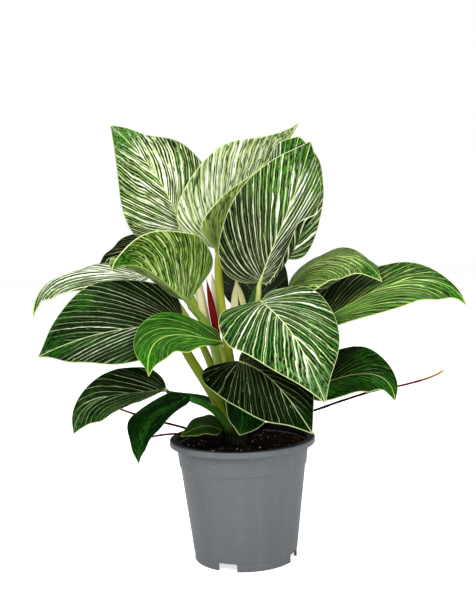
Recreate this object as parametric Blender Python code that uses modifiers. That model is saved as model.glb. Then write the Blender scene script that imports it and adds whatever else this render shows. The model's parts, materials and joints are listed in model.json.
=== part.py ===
"""A potted philodendron with striped leaves, built in metres with +Z up.

All dimensions below are in millimetres, measured from the pot's axis and from
the surface it stands on. +X is the plant's right as seen from the front and
+Y points away from the front.
"""
import logging
import math
from dataclasses import dataclass
from typing import Callable, Optional, Sequence

import bmesh
import bpy
import numpy as np
from mathutils import Vector

LOG = logging.getLogger("part")
MM = 0.001
GAP = 0.3

# The plant leans over its pot, so the pot's axis stands a little off the
# middle of the whole.
POT_AXIS = (0.0, 1.0)

# The pot
POT_HEIGHT = 100.0
RIM_R = 60.0
LIP_HEIGHT = 4.5
LIP_WALL = 1.3
WALL = 1.2
NECK_R = 54.6
STEP_Z = 78.0
STEP_R = 51.6
BASE_R = 42.3
FOOT_RING = 2.0
FLOOR_UNDER_Z = 7.0
FLOOR_TOP_Z = 8.5
POT_SEGMENTS = 72
CUTOUT_ANGLES = (-21.0, 69.0, 159.0, 249.0)
CUTOUT_WIDTH = 16.0
CUTOUT_HEIGHT = 6.5
CUTOUT_CORNER = 1.6
DRAIN_R = 3.5
DRAIN_RING_R = 25.0
DRAIN_COUNT = 5

# The soil
SOIL_Z = 94.0
SOIL_BUMP = 0.8
SOIL_HOLE_R = 9.4
SOIL_HOLE_Z = 69.5

# The crown
CROWN_XY = (-5.0, 0.0)
CROWN_R = 9.0
CROWN_FOOT_Z = 70.0
CROWN_TOP_Z = 112.0
STALK_END_R = 1.3
STALK_BEND = 3.0

Point = tuple[float, float, float]


def unit(v: Sequence[float]) -> np.ndarray:
    """The vector at length one."""
    v = np.asarray(v, float)
    return v / np.linalg.norm(v)


def pair(v) -> tuple:
    """One value for both halves of a leaf, or the two given."""
    return tuple(v) if isinstance(v, (tuple, list)) else (v, v)


def cubic(p, t: float) -> tuple[float, float]:
    """A point on a flat cubic curve."""
    a, b, c, d = (1 - t) ** 3, 3 * (1 - t) ** 2 * t, 3 * (1 - t) * t * t, t ** 3
    return (a * p[0][0] + b * p[1][0] + c * p[2][0] + d * p[3][0],
            a * p[0][1] + b * p[1][1] + c * p[2][1] + d * p[3][1])


def smooth(v: float) -> float:
    """An eased step from 0 to 1."""
    v = min(1.0, max(0.0, v))
    return v * v * (3 - 2 * v)


class Path:
    """A smooth curve through a few points, read by its length from the start."""

    def __init__(self, points: Sequence[Point], samples: int = 120) -> None:
        p = np.asarray(points, float)
        d = np.linalg.norm(np.diff(p, axis=0), axis=1)
        u = np.concatenate([[0.0], np.cumsum(np.sqrt(d))])
        u /= u[-1]
        factors = np.linalg.solve(np.vander(u, len(p)), p)
        self.points = np.vander(np.linspace(0, 1, samples), len(p)) @ factors
        steps = np.linalg.norm(np.diff(self.points, axis=0), axis=1)
        self.reach = np.concatenate([[0.0], np.cumsum(steps)])
        self.length = float(self.reach[-1])
        along = np.gradient(self.points, axis=0)
        self.along = along / np.linalg.norm(along, axis=1)[:, None]

    def at(self, y: float) -> tuple[np.ndarray, np.ndarray]:
        """The point and the direction at a length; straight on beyond the ends."""
        yc = min(max(y, 0.0), self.length)
        p = np.array([np.interp(yc, self.reach, self.points[:, k]) for k in range(3)])
        t = unit([np.interp(yc, self.reach, self.along[:, k]) for k in range(3)])
        return p + t * (y - yc), t


@dataclass
class Roll:
    """A margin that rolls up: which half, how far it turns, and where."""

    side: int
    angle: float
    start: float
    end: float
    part: float


@dataclass
class Leaf:
    """One blade, laid over its midrib and over one point on each margin."""

    name: str
    midrib: Sequence[Point]
    left: Point
    right: Point
    stalk: Sequence[Point] = ()
    stalk_r: tuple[float, float] = (4.2, 2.4)
    widest: object = 0.36
    lobe: object = 0.05
    sinus: object = 70.0
    taper: object = 0.4
    full: object = 0.5
    reach: float = 0.3
    curl: tuple[float, float] = (0.0, 0.0)
    lift: tuple[float, float] = (0.0, 0.0)
    wave: float = 1.5
    waves: float = 3.0
    phase: float = 0.0
    roll: Optional[Roll] = None
    rows: int = 12
    columns: int = 4
    thick: float = 2.0


LEAVES = (
    Leaf("leaf_tall_left", ((-45, 4, 269), (-59, 12, 309), (-104, 44, 363)),
         (-94, 0, 294), (-24, 27, 327), ((-8, 4, 104), (-21, 9, 172), (-34, 12, 222)),
         widest=(0.2, 0.36), taper=(0.4, 0.36), full=(0.3, 0.34), lift=(10, -5), wave=2.5, phase=0.0),
    Leaf("leaf_tall_folded", ((-17, 4, 256), (3, 18, 285), (27, 24, 318), (55, 16, 357)),
         (-39, -2, 308), (-24, -15, 283), ((-3, 5, 104), (-9.5, 0.5, 175), (-14.5, 1.5, 222)),
         stalk_r=(4.4, 3.3), widest=(0.28, 0.14), lobe=(0.12, 0.1), full=(0.7, 0.1), taper=(0.3, 0.08), reach=0.4, sinus=(60, 80)),
    Leaf("leaf_tall_front", ((18, -22, 228), (30, -32, 258), (45, -34, 292), (62, -14, 339)),
         (-7, -42, 281), (60, -28, 272), ((0, -2, 106), (8, -14, 173), (15, -23, 208)),
         lobe=(0.03, -0.04), sinus=75, curl=(-20, 10), full=(0.45, 0.72), taper=(0.4, 0.5),
         roll=Roll(1, 215, 0.03, 0.55, 0.5), rows=16, columns=8),
    Leaf("leaf_tall_back", ((33, 10, 248), (42, 8, 298), (54, 6, 345)),
         (20, 8, 291), (71, 18, 280), ((1, 3, 106), (9, 0, 188), (14, 5, 218), (26, 14, 232)),
         full=(0.9, 0.6), taper=(1.0, 0.8), reach=0.18, sinus=75, phase=0.4, columns=3),
    Leaf("leaf_arched_left", ((-39, -14, 214), (-60, -42, 236), (-76, -68, 247), (-91, -84, 244)),
         (-36, -46, 274), (-71, -12, 232), ((-10, -3, 106), (-16, -5, 167), (-26, -8, 194)),
         stalk_r=(4.4, 3.4), full=(0.14, 0.62), taper=(0.5, 0.5), reach=0.06, widest=(0.36, 0.5), lobe=(0.05, -0.3),
         sinus=(100, 110)),
    Leaf("leaf_upper_left_back", ((-49, 16, 240), (-83, 48, 254), (-128, 86, 238)),
         (-80, 27, 250), (-90, 70, 274), ((-9, 4, 104), (-27, 18, 188), (-42, 22, 222)),
         full=(0.6, 0.9), taper=(0.4, 1.0), lobe=0.12, phase=0.2, columns=3),
    Leaf("leaf_long_left", ((-71, 4, 237), (-109, 13, 240), (-144, 22, 239), (-166, 27, 226), (-174, 28, 202)),
         (-145, 4, 222), (-114, 46, 246), ((-10, 3, 102), (-33, 14, 180), (-55, 14, 217)),
         full=(0.5, 0.05), taper=(0.35, 0.1), lobe=(-0.2, 0.0), widest=(0.62, 0.36), sinus=(85, 72), lift=(0, -60),
         wave=1.0, phase=0.1),
    Leaf("leaf_broad_left", ((-45, -16, 198), (-82, -38, 197), (-113, -50, 193), (-153, -60, 179)),
         (-92, -74, 174), (-99, -21, 234), ((-9, -4, 104), (-23, -9, 138), (-41, -13, 170), (-47, -14, 185)),
         stalk_r=(4.6, 3.8), full=(0.6, 0.5), widest=0.42, lobe=(-0.15, 0.03), sinus=(90, 60), phase=0.3),
    Leaf("leaf_heart_front", ((18, -44, 215), (33, -64, 201), (45, -80, 183), (61, -98, 143)),
         (68, -41, 213), (-10, -78, 189), ((0, -5, 106), (5, -14, 172), (12, -32, 198)),
         stalk_r=(4.2, 2.6), full=(0.5, 0.2), taper=(0.3, 0.3), lobe=(0.12, 0.15), sinus=55, widest=(0.2, 0.28),
         phase=0.15),
    Leaf("leaf_small_left", ((-13, -38, 184), (-36, -54, 191), (-59, -68, 191), (-68, -78, 164)),
         (-48, -88, 184), (-58, -46, 208), ((-5, -6, 108), (-10, -13, 146), (-12, -22, 166)),
         stalk_r=(4.0, 2.0), full=(0.62, 0.7), taper=(0.4, 0.1), widest=(0.5, 0.42), lobe=(-0.42, 0.0),
         sinus=(130, 90), phase=0.5, columns=3),
    Leaf("leaf_dark_front", ((-1, -36, 168), (17, -54, 161), (33, -75, 147), (51, -96, 121)),
         (46, -43, 174), (-14, -66, 145), ((-2, -6, 108), (-3, -17, 145)),
         stalk_r=(4.2, 2.4), full=(0.35, 0.6), lobe=(0.1, 0.46), sinus=(60, 15), widest=0.28, phase=0.25),
    Leaf("leaf_right_upper", ((42, 8, 218), (63, 2, 241), (92, -8, 246), (114, -28, 226)),
         (80, 30, 252), (84, -38, 233), ((3, 2, 106), (19, 4, 175), (35, 8, 203)),
         full=(0.25, 0.52), taper=(0.06, 0.45), widest=(0.3, 0.4), lobe=(0.12, 0.05), phase=0.35),
    Leaf("leaf_right_long", ((64, -16, 195), (100, -24, 215), (127, -34, 226), (154, -46, 226), (174, -54, 207)),
         (104, 16, 235), (124, -58, 210), ((4, -2, 106), (24, -8, 160), (53, -12, 188)),
         full=(0.05, 0.7), taper=(0.06, 0.35), widest=(0.32, 0.5), lobe=(0.36, -0.15), sinus=(45, 110), phase=0.1),
    Leaf("leaf_right_back", ((53, 27, 219), (96, 62, 239), (142, 96, 228)),
         (100, 84, 250), (98, 48, 224), ((2, 6, 104), (19, 14, 182), (42, 22, 210)),
         full=0.55, lobe=0.12, columns=3),
    Leaf("leaf_right_low", ((61, -10, 142), (89, -22, 152), (111, -30, 151), (121, -38, 132)),
         (94, 8, 172), (88, -46, 141), ((5, -2, 104), (24, -4, 130)),
         stalk_r=(4.0, 2.2), full=(0.1, 0.6), taper=(0.1, 0.4), widest=0.4, sinus=60, phase=0.4, columns=3),
    Leaf("leaf_low_left", ((-60, -16, 145), (-93, -30, 144), (-118, -42, 139), (-130, -52, 117)),
         (-109, -58, 128), (-96, 0, 161), ((-9, -1, 106), (-24, -4, 131), (-42, -8, 137)),
         stalk_r=(3.0, 1.9), full=(0.6, 0.1), taper=(0.4, 0.15), widest=(0.66, 0.34), lobe=(-0.6, 0.05),
         sinus=(155, 75), wave=0.8, columns=3),
    Leaf("leaf_low_left_small", ((-41, -34, 142), (-59, -48, 134), (-72, -60, 123), (-79, -70, 97)),
         (-66, -69, 121), (-82, -34, 131), ((-8, -5, 104), (-22, -14, 125), (-33, -24, 134)),
         stalk_r=(3.6, 2.6), full=(0.55, 0.42), taper=(0.35, 0.3), widest=0.45, lobe=(-0.12, 0.0), sinus=90,
         wave=1.0, phase=0.2, columns=3),
    Leaf("leaf_on_soil", ((-17, -4, 107), (-31, -4, 111), (-51, -2, 102)),
         (-31, -14, 106), (-36, 10, 117), (), full=0.6, taper=0.5, wave=0.5, lobe=0.0, sinus=90,
         rows=9, columns=2, thick=1.4),
    Leaf("leaf_under_front", ((-4, -27, 142), (0, -34, 127), (-2, -38, 109)),
         (22, -34, 122), (-12, -30, 129), ((-3, -7, 104), (-5, -16, 124)),
         stalk_r=(2.4, 1.6), full=0.5, taper=0.5, widest=0.45, wave=0.5, rows=9, columns=3, thick=1.6),
    Leaf("leaf_middle_back", ((15, 22, 211), (12, 52, 241), (6, 92, 256)),
         (-16, 56, 240), (43, 60, 238), ((0, 5, 106), (9, 8, 175), (13, 14, 197)),
         full=0.6, lobe=0.12, phase=0.3, columns=3),
)

SHEATHS = (
    Leaf("sheath_red", ((-16.8, -2.8, 178), (-21, -3, 206), (-25, -4, 232)), (-24, -1, 205), (-18, -1, 205),
         widest=0.42, lobe=0.0, sinus=90, wave=0.0, rows=9, columns=2, thick=1.0),
    Leaf("sheath_cream_middle", ((-13.6, 4.0, 186), (-17, 5.5, 214), (-21, 6, 236)), (-21, 6.5, 212), (-14, 6.5, 212),
         widest=0.5, lobe=0.0, sinus=90, wave=0.0, rows=9, columns=2, thick=1.0),
    Leaf("sheath_cream_left", ((-22, 4.8, 178), (-28, 3, 209), (-32, 4, 239)), (-32, 5, 207), (-25, 5, 207),
         widest=0.5, lobe=0.0, sinus=90, wave=0.0, rows=9, columns=2, thick=1.0),
    Leaf("sheath_cream_front", ((0, -4, 180), (0, -6, 208), (-1, -6, 231)), (-6, -3, 205), (7, -3, 205),
         widest=0.48, lobe=0.0, sinus=90, wave=0.0, rows=9, columns=2, thick=1.0),
)

ROOT_R = 0.9
ROOTS = {
    "root_right": ((4.0, 4.2, 98.5), (10, 6.5, 101), (30, 5, 112), (60, 4, 119), (83, 5, 126), (113, 6, 134), (138, 7, 138),
                   (163, 8, 145), (170, 8, 149)),
    "root_left_upper": ((-12.8, 5.9, 98), (-17, 10, 104), (-24, 12, 115), (-31, 12, 115), (-35, 12, 107), (-42, 12, 104),
                        (-49, 10, 107), (-61, 8, 111), (-76, 5, 116), (-88, 2, 121), (-101, -2, 127)),
    "root_left_lower": ((-14.6, 2.5, 97.5), (-32, 6, 98), (-45, 5, 101), (-53, 4, 103), (-66, 2, 103), (-76, 0, 102)),
}


class Blade:
    """The surface of one leaf: a heart shape, folded at its midrib and waved at its edges."""

    OUTER_SPAN = 0.42

    def __init__(self, leaf: Leaf) -> None:
        self.leaf = leaf
        self.rib = Path(leaf.midrib)
        self.length = self.rib.length
        self.widest, self.lobe, self.sinus = pair(leaf.widest), pair(leaf.lobe), pair(leaf.sinus)
        self.taper, self.full = pair(leaf.taper), pair(leaf.full)
        self.curl = [math.radians(c) for c in leaf.curl]
        self._fold_halves()

    def _fold_halves(self) -> None:
        """Find how each half leans and how wide it is from its margin point."""
        arms = []
        for point, at in ((self.leaf.left, self.widest[0]), (self.leaf.right, self.widest[1])):
            centre, along = self.rib.at(at * self.length)
            arm = np.asarray(point, float) - centre
            arms.append((arm, float(np.linalg.norm(arm - along * (arm @ along)))))
        middle = (self.widest[0] + self.widest[1]) / 2 * self.length
        _, along = self.rib.at(middle)
        flat = [unit(arm - along * (arm @ along)) * width for arm, width in arms]
        across = unit(unit(flat[1]) - unit(flat[0]))
        normal = np.cross(across, along)
        self.fold, self.half = [], []
        for k, (arm, sign) in enumerate(((flat[0], -1), (flat[1], 1))):
            angle = math.atan2(arm @ normal, sign * (arm @ across))
            bend = self.curl[k]
            self.fold.append(angle - bend / 2)
            chord = 1.0 if abs(bend) < 1e-6 else math.sin(bend / 2) / (bend / 2)
            self.half.append(float(np.linalg.norm(arm)) / chord)
        self._carry_normal(middle, normal)

    def _carry_normal(self, middle: float, normal: np.ndarray) -> None:
        """Carry the upper side's normal along the midrib without twist."""
        stations = np.linspace(-0.35 * self.length, self.length, 136)
        centre = int(np.argmin(abs(stations - middle)))
        along = [self.rib.at(y)[1] for y in stations]
        normals = [None] * len(stations)
        normals[centre] = unit(normal - along[centre] * (normal @ along[centre]))
        for span in (range(centre + 1, len(stations)), range(centre - 1, -1, -1)):
            last = normals[centre]
            for i in span:
                last = unit(last - along[i] * (last @ along[i]))
                normals[i] = last
        self.stations, self.normals = stations, np.array(normals)

    def frame(self, y: float) -> tuple[np.ndarray, np.ndarray, np.ndarray, np.ndarray]:
        """Point, direction, rightward and upward at a length along the midrib."""
        point, along = self.rib.at(y)
        normal = np.array([np.interp(y, self.stations, self.normals[:, k]) for k in range(3)])
        normal = unit(normal - along * (normal @ along))
        return point, along, np.cross(along, normal), normal

    def margin(self, side: int, s: float) -> tuple[float, float]:
        """The flat outline of one half, from the base (0) to the tip (1)."""
        width, length = self.half[side], self.length
        station = self.widest[side] * length
        angle = math.radians(self.sinus[side])
        if s <= self.OUTER_SPAN:
            curve = ((0, 0), (math.sin(angle) * width / 2, -math.cos(angle) * width / 2),
                     (width, -self.lobe[side] * length), (width, station))
            return cubic(curve, s / self.OUTER_SPAN)
        curve = ((width, station), (width, station + self.full[side] * (length - station)),
                 (self.taper[side] * width, length - self.leaf.reach * (length - station)), (0, length))
        return cubic(curve, (s - self.OUTER_SPAN) / (1 - self.OUTER_SPAN))

    def point(self, side: int, s: float, t: float) -> np.ndarray:
        """A point on the vein s, the fraction t of the way from the midrib to the margin."""
        xm, ym = self.margin(side, s)
        start = self.length * (0.25 * s + 0.75 * s ** 2.3)
        x, y = xm * t, start + (ym - start) * (0.45 * t + 0.55 * t * t)
        return self._place(side, x, y, s, t)

    def _place(self, side: int, x: float, y: float, s: float, t: float) -> np.ndarray:
        point, _, across, normal = self.frame(y)
        out, up, end = self._bend(x, self._lift(side, y / self.length), self.curl[side] / self.half[side])
        roll = self.leaf.roll
        if roll is not None and roll.side == side and t > 1 - roll.part:
            out, up, end = self._rolled(roll, side, x, y, s, t, (out, up, end))
        ends = min(1.0, 6 * s) * min(1.0, 6 * (1 - s))
        cycle = math.sin(2 * math.pi * (self.leaf.waves * s + self.leaf.phase + 0.37 * side))
        wave = self.leaf.wave * t * t * cycle * ends
        out -= wave * math.sin(end)
        up += wave * math.cos(end)
        sign = -1 if side == 0 else 1
        return point + across * sign * out + normal * up

    def _lift(self, side: int, f: float) -> float:
        angle, widest = self.fold[side], self.widest[side]
        if f > widest:
            angle += math.radians(self.leaf.lift[side]) * ((f - widest) / (1 - widest)) ** 1.5
        return angle

    @staticmethod
    def _bend(x: float, angle: float, turn: float) -> tuple[float, float, float]:
        """Go x along an arc that starts at an angle and turns steadily."""
        if abs(turn) < 1e-7:
            return x * math.cos(angle), x * math.sin(angle), angle
        end = angle + turn * x
        return (math.sin(end) - math.sin(angle)) / turn, (math.cos(angle) - math.cos(end)) / turn, end

    def _rolled(self, roll: Roll, side: int, x: float, y: float, s: float, t: float, flat: tuple) -> tuple:
        amount = smooth(min(s - roll.start, roll.end - s) / 0.10)
        if amount <= 0:
            return flat
        past = x * (t - (1 - roll.part)) / t
        turn = self.curl[side] / self.half[side]
        out, up, angle = self._bend(x - past, self._lift(side, y / self.length), turn)
        tight = math.radians(roll.angle) * amount / (x / t * roll.part) + turn
        more_out, more_up, end = self._bend(past, angle, tight)
        return out + more_out, up + more_up, end


def seat(blade: Blade, start: np.ndarray) -> tuple[np.ndarray, np.ndarray]:
    """Where a stalk's flat end faces its blade, and which way it faces.

    A stalk that arrives from below ends under the blade's base. One that
    arrives along the blade ends in the notch between the two lobes.
    """
    point, along, _, normal = blade.frame(0.0)
    arrive = unit(point - np.asarray(start, float))
    if float(arrive @ normal) > 0.4:
        return point - normal * (blade.leaf.thick + GAP), normal
    notch = STALK_END_R / math.tan(math.radians(max(25.0, min(89.0, min(blade.sinus)))))
    return point - normal * blade.leaf.thick / 2 - along * (GAP + notch), along


def new_object(name: str, mesh: bmesh.types.BMesh) -> bpy.types.Object:
    """Link a mesh as a plain object, in metres and at the pot's place."""
    for vertex in mesh.verts:
        vertex.co.x = (vertex.co.x + POT_AXIS[0]) * MM
        vertex.co.y = (vertex.co.y + POT_AXIS[1]) * MM
        vertex.co.z *= MM
    data = bpy.data.meshes.new(name)
    mesh.to_mesh(data)
    mesh.free()
    thing = bpy.data.objects.new(name, data)
    bpy.context.scene.collection.objects.link(thing)
    return thing


def apply_modifiers(thing: bpy.types.Object) -> None:
    """Turn an object's modifiers into plain mesh."""
    graph = bpy.context.evaluated_depsgraph_get()
    graph.update()
    data = bpy.data.meshes.new_from_object(thing.evaluated_get(graph))
    thing.modifiers.clear()
    thing.vertex_groups.clear()
    thing.data = data


def face_out(thing: bpy.types.Object) -> None:
    """Make a closed body's faces look outwards."""
    mesh = bmesh.new()
    mesh.from_mesh(thing.data)
    bmesh.ops.recalc_face_normals(mesh, faces=mesh.faces)
    if mesh.calc_volume(signed=True) < 0:
        bmesh.ops.reverse_faces(mesh, faces=mesh.faces)
    mesh.to_mesh(thing.data)
    mesh.free()


def lathe(name: str, profile: Sequence[tuple[float, float]], segments: int,
          centre: tuple[float, float] = (0.0, 0.0),
          shape: Optional[Callable[[float, float, float], float]] = None) -> bpy.types.Object:
    """Turn a closed half-profile of (radius, height) about an upright axis."""
    mesh = bmesh.new()
    rings = []
    for radius, height in profile:
        if radius <= 0:
            rings.append([mesh.verts.new((centre[0], centre[1], height))])
            continue
        ring = []
        for i in range(segments):
            turn = 2 * math.pi * i / segments
            x, y = radius * math.cos(turn), radius * math.sin(turn)
            z = height + (shape(x, y, height) if shape else 0.0)
            ring.append(mesh.verts.new((centre[0] + x, centre[1] + y, z)))
        rings.append(ring)
    closed = profile[0][0] > 0 and profile[-1][0] > 0
    pairs = list(zip(rings, rings[1:])) + ([(rings[-1], rings[0])] if closed else [])
    for low, high in pairs:
        for i in range(segments):
            j = (i + 1) % segments
            corners = [low[i % len(low)], low[j % len(low)], high[j % len(high)], high[i % len(high)]]
            unique = []
            for corner in corners:
                if corner not in unique:
                    unique.append(corner)
            if len(unique) > 2:
                mesh.faces.new(unique)
    thing = new_object(name, mesh)
    face_out(thing)
    return thing


def tube(name: str, path: Path, radius: Callable[[float], float], rings: int, sides: int,
         end: Optional[tuple[np.ndarray, np.ndarray]] = None) -> bpy.types.Object:
    """Sweep a round section along a path; radius is read by the fraction of its length.

    The end, where given, is one more section at a place and square to a direction.
    """
    mesh = bmesh.new()
    up = unit(np.cross(path.at(0)[1], (0.3, 0.9, 0.2)))
    loops = []
    stations = [path.at(path.length * k / rings) for k in range(rings + 1)] + ([end] if end else [])
    for k, (point, along) in enumerate(stations):
        f = min(1.0, k / rings)
        up = unit(up - along * (up @ along))
        side = np.cross(along, up)
        r = radius(f)
        loop = []
        for i in range(sides):
            turn = 2 * math.pi * i / sides
            loop.append(mesh.verts.new(point + up * r * math.cos(turn) + side * r * math.sin(turn)))
        loops.append(loop)
    for low, high in zip(loops, loops[1:]):
        for i in range(sides):
            j = (i + 1) % sides
            mesh.faces.new((low[i], low[j], high[j], high[i]))
    mesh.faces.new(reversed(loops[0]))
    mesh.faces.new(loops[-1])
    thing = new_object(name, mesh)
    face_out(thing)
    return thing


def combine(thing: bpy.types.Object, tools: Sequence[bpy.types.Object], operation: str) -> None:
    """Unite a body with others or cut them out of it, then remove them."""
    group = bpy.data.collections.new(thing.name + "_tools")
    for tool in tools:
        bpy.context.scene.collection.objects.unlink(tool)
        group.objects.link(tool)
    bpy.context.scene.collection.children.link(group)
    step = thing.modifiers.new(operation.lower(), "BOOLEAN")
    step.operation = operation
    step.operand_type = "COLLECTION"
    step.collection = group
    step.solver = "MANIFOLD"
    apply_modifiers(thing)
    for tool in tools:
        bpy.data.objects.remove(tool)
    bpy.data.collections.remove(group)


def leaf_body(leaf: Leaf) -> bpy.types.Object:
    """Build a blade: a grid laid over its surface, cut into triangles and thickened downwards."""
    blade = Blade(leaf)
    rows, columns = leaf.rows, leaf.columns
    mesh = bmesh.new()
    layer = mesh.verts.layers.deform.verify()
    bmesh.ops.create_grid(mesh, x_segments=2 * columns, y_segments=rows, size=1.0)
    margin = 0.9 / leaf.thick
    for vertex in mesh.verts:
        t, s = float(vertex.co.x), float(vertex.co.y) / 2 + 0.5
        s = min(1.0, max(0.0, s))
        side = 0 if t < 0 else 1
        near_rib = abs(t) < 0.5 / columns
        vertex.co = Vector(blade.point(side, s, 0.0 if near_rib else abs(t)))
        vertex[layer][0] = margin + (1 - margin) * (max(0.0, 1.0 - s) if near_rib or s < 0.01 else 0.0)
    bmesh.ops.remove_doubles(mesh, verts=mesh.verts, dist=0.01)
    bmesh.ops.triangulate(mesh, faces=mesh.faces)
    thing = new_object(leaf.name, mesh)
    thing.vertex_groups.new(name="rib")
    skin = thing.modifiers.new("thickness", "SOLIDIFY")
    skin.thickness = leaf.thick * MM
    skin.offset = -1.0
    skin.vertex_group = "rib"
    skin.thickness_vertex_group = 0.0
    apply_modifiers(thing)
    flat = bmesh.new()
    flat.from_mesh(thing.data)
    bmesh.ops.triangulate(flat, faces=flat.faces)
    flat.to_mesh(thing.data)
    flat.free()
    face_out(thing)
    return thing


def build_stalk(leaf: Leaf) -> bpy.types.Object:
    """A leaf's stalk from the crown to its blade."""
    low, high = leaf.stalk_r

    def radius(f: float) -> float:
        return low + (high - low) * smooth(f / 0.8) - (high - STALK_END_R) * smooth((f - 0.8) / 0.2)

    end, facing = seat(Blade(leaf), np.asarray(leaf.stalk[-1]))
    arrive = unit(end - np.asarray(leaf.stalk[-1], float))
    bend = end - unit(arrive + facing) * STALK_BEND
    return tube("stalk_" + leaf.name, Path(tuple(leaf.stalk) + (tuple(bend),)), radius, 9, 8, (end, facing))


def build_crown() -> bpy.types.Object:
    """The crown standing in the soil and all the stalks growing from it, as one body."""
    profile = [(0, CROWN_FOOT_Z), (CROWN_R, CROWN_FOOT_Z), (CROWN_R, CROWN_TOP_Z - 6),
               (CROWN_R - 2, CROWN_TOP_Z - 1), (0, CROWN_TOP_Z + 1)]
    crown = lathe("crown_and_stalks", profile, 20, CROWN_XY)
    stalks = [build_stalk(leaf) for leaf in LEAVES if leaf.stalk]
    combine(crown, stalks, "UNION")
    face_out(crown)
    return crown


def build_pot() -> bpy.types.Object:
    """The nursery pot: tapered wall, step, turned-down lip, floor and slotted foot ring."""
    lip_low = POT_HEIGHT - LIP_HEIGHT
    profile = [
        (0, FLOOR_TOP_Z), (BASE_R - 0.8, FLOOR_TOP_Z), (STEP_R - WALL - 0.4, STEP_Z - 0.6),
        (STEP_R - WALL + 0.8, STEP_Z + 0.4), (NECK_R - WALL, lip_low + 2.5), (NECK_R - 0.4, POT_HEIGHT),
        (RIM_R - 0.7, POT_HEIGHT), (RIM_R, POT_HEIGHT - 0.7), (RIM_R, lip_low), (RIM_R - LIP_WALL, lip_low),
        (RIM_R - LIP_WALL, POT_HEIGHT - LIP_WALL), (NECK_R + 0.2, POT_HEIGHT - LIP_WALL), (NECK_R, lip_low),
        (STEP_R + 0.9, STEP_Z + 0.5), (STEP_R, STEP_Z - 0.5), (BASE_R + 0.6, FLOOR_UNDER_Z),
        (BASE_R, FLOOR_UNDER_Z - 1), (BASE_R, 0), (BASE_R - FOOT_RING, 0), (BASE_R - FOOT_RING, FLOOR_UNDER_Z),
        (0, FLOOR_UNDER_Z),
    ]
    pot = lathe("pot", profile, POT_SEGMENTS)
    tools = [cutout(angle) for angle in CUTOUT_ANGLES]
    for k in range(DRAIN_COUNT):
        turn = 2 * math.pi * (k + 0.5) / DRAIN_COUNT
        hole = [(0, FLOOR_UNDER_Z - 1), (DRAIN_R, FLOOR_UNDER_Z - 1), (DRAIN_R, FLOOR_TOP_Z + 1), (0, FLOOR_TOP_Z + 1)]
        tools.append(lathe("drain", hole, 20, (DRAIN_RING_R * math.cos(turn), DRAIN_RING_R * math.sin(turn))))
    combine(pot, tools, "DIFFERENCE")
    face_out(pot)
    return pot


def cutout(angle: float) -> bpy.types.Object:
    """A slot through the foot ring with rounded upper corners, angle in degrees from the front."""
    half, top, corner = CUTOUT_WIDTH / 2, CUTOUT_HEIGHT, CUTOUT_CORNER
    outline = [(-half, -1.0), (half, -1.0)]
    for centre, start in ((half - corner, 0.0), (-half + corner, 90.0)):
        for k in range(5):
            turn = math.radians(start + 90.0 * k / 4)
            outline.append((centre + corner * math.cos(turn), top - corner + corner * math.sin(turn)))
    turn = math.radians(angle)
    outward = (math.sin(turn), -math.cos(turn))
    across = (math.cos(turn), math.sin(turn))
    mesh = bmesh.new()
    loops = []
    for depth in (BASE_R - 9.0, BASE_R + 5.0):
        loops.append([mesh.verts.new((outward[0] * depth + across[0] * u, outward[1] * depth + across[1] * u, v))
                      for u, v in outline])
    count = len(outline)
    for i in range(count):
        j = (i + 1) % count
        mesh.faces.new((loops[0][i], loops[0][j], loops[1][j], loops[1][i]))
    mesh.faces.new(loops[0])
    mesh.faces.new(loops[1])
    thing = new_object("cutout", mesh)
    face_out(thing)
    return thing


def soil_bump(x: float, y: float, z: float) -> float:
    """A gentle unevenness of the soil's top."""
    if z < SOIL_Z - 0.5:
        return 0.0
    away = min(1.0, (52.0 - math.hypot(x, y)) / 8.0)
    return SOIL_BUMP * max(0.0, away) * (math.sin(0.23 * x + 0.7) * math.cos(0.19 * y - 0.4) + 0.5 * math.sin(0.41 * y + 0.2 * x))


def build_soil() -> bpy.types.Object:
    """The soil filling the pot, with a plain hole for the crown."""
    clear = GAP
    profile = [
        (0, FLOOR_TOP_Z + clear), (BASE_R - 0.8 - clear, FLOOR_TOP_Z + clear),
        (STEP_R - WALL - 0.5 - clear, STEP_Z - 0.6), (STEP_R - WALL + 0.6 - clear, STEP_Z + 0.4),
        (NECK_R - WALL - 0.5 - clear, SOIL_Z), (46.0, SOIL_Z), (38.0, SOIL_Z), (29.0, SOIL_Z), (18.0, SOIL_Z),
        (0, SOIL_Z),
    ]
    soil = lathe("soil", profile, 36, shape=soil_bump)
    hole = [(0, SOIL_HOLE_Z), (SOIL_HOLE_R, SOIL_HOLE_Z), (SOIL_HOLE_R, SOIL_Z + 5), (0, SOIL_Z + 5)]
    combine(soil, [lathe("soil_hole", hole, 24, CROWN_XY)], "DIFFERENCE")
    face_out(soil)
    return soil


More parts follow.
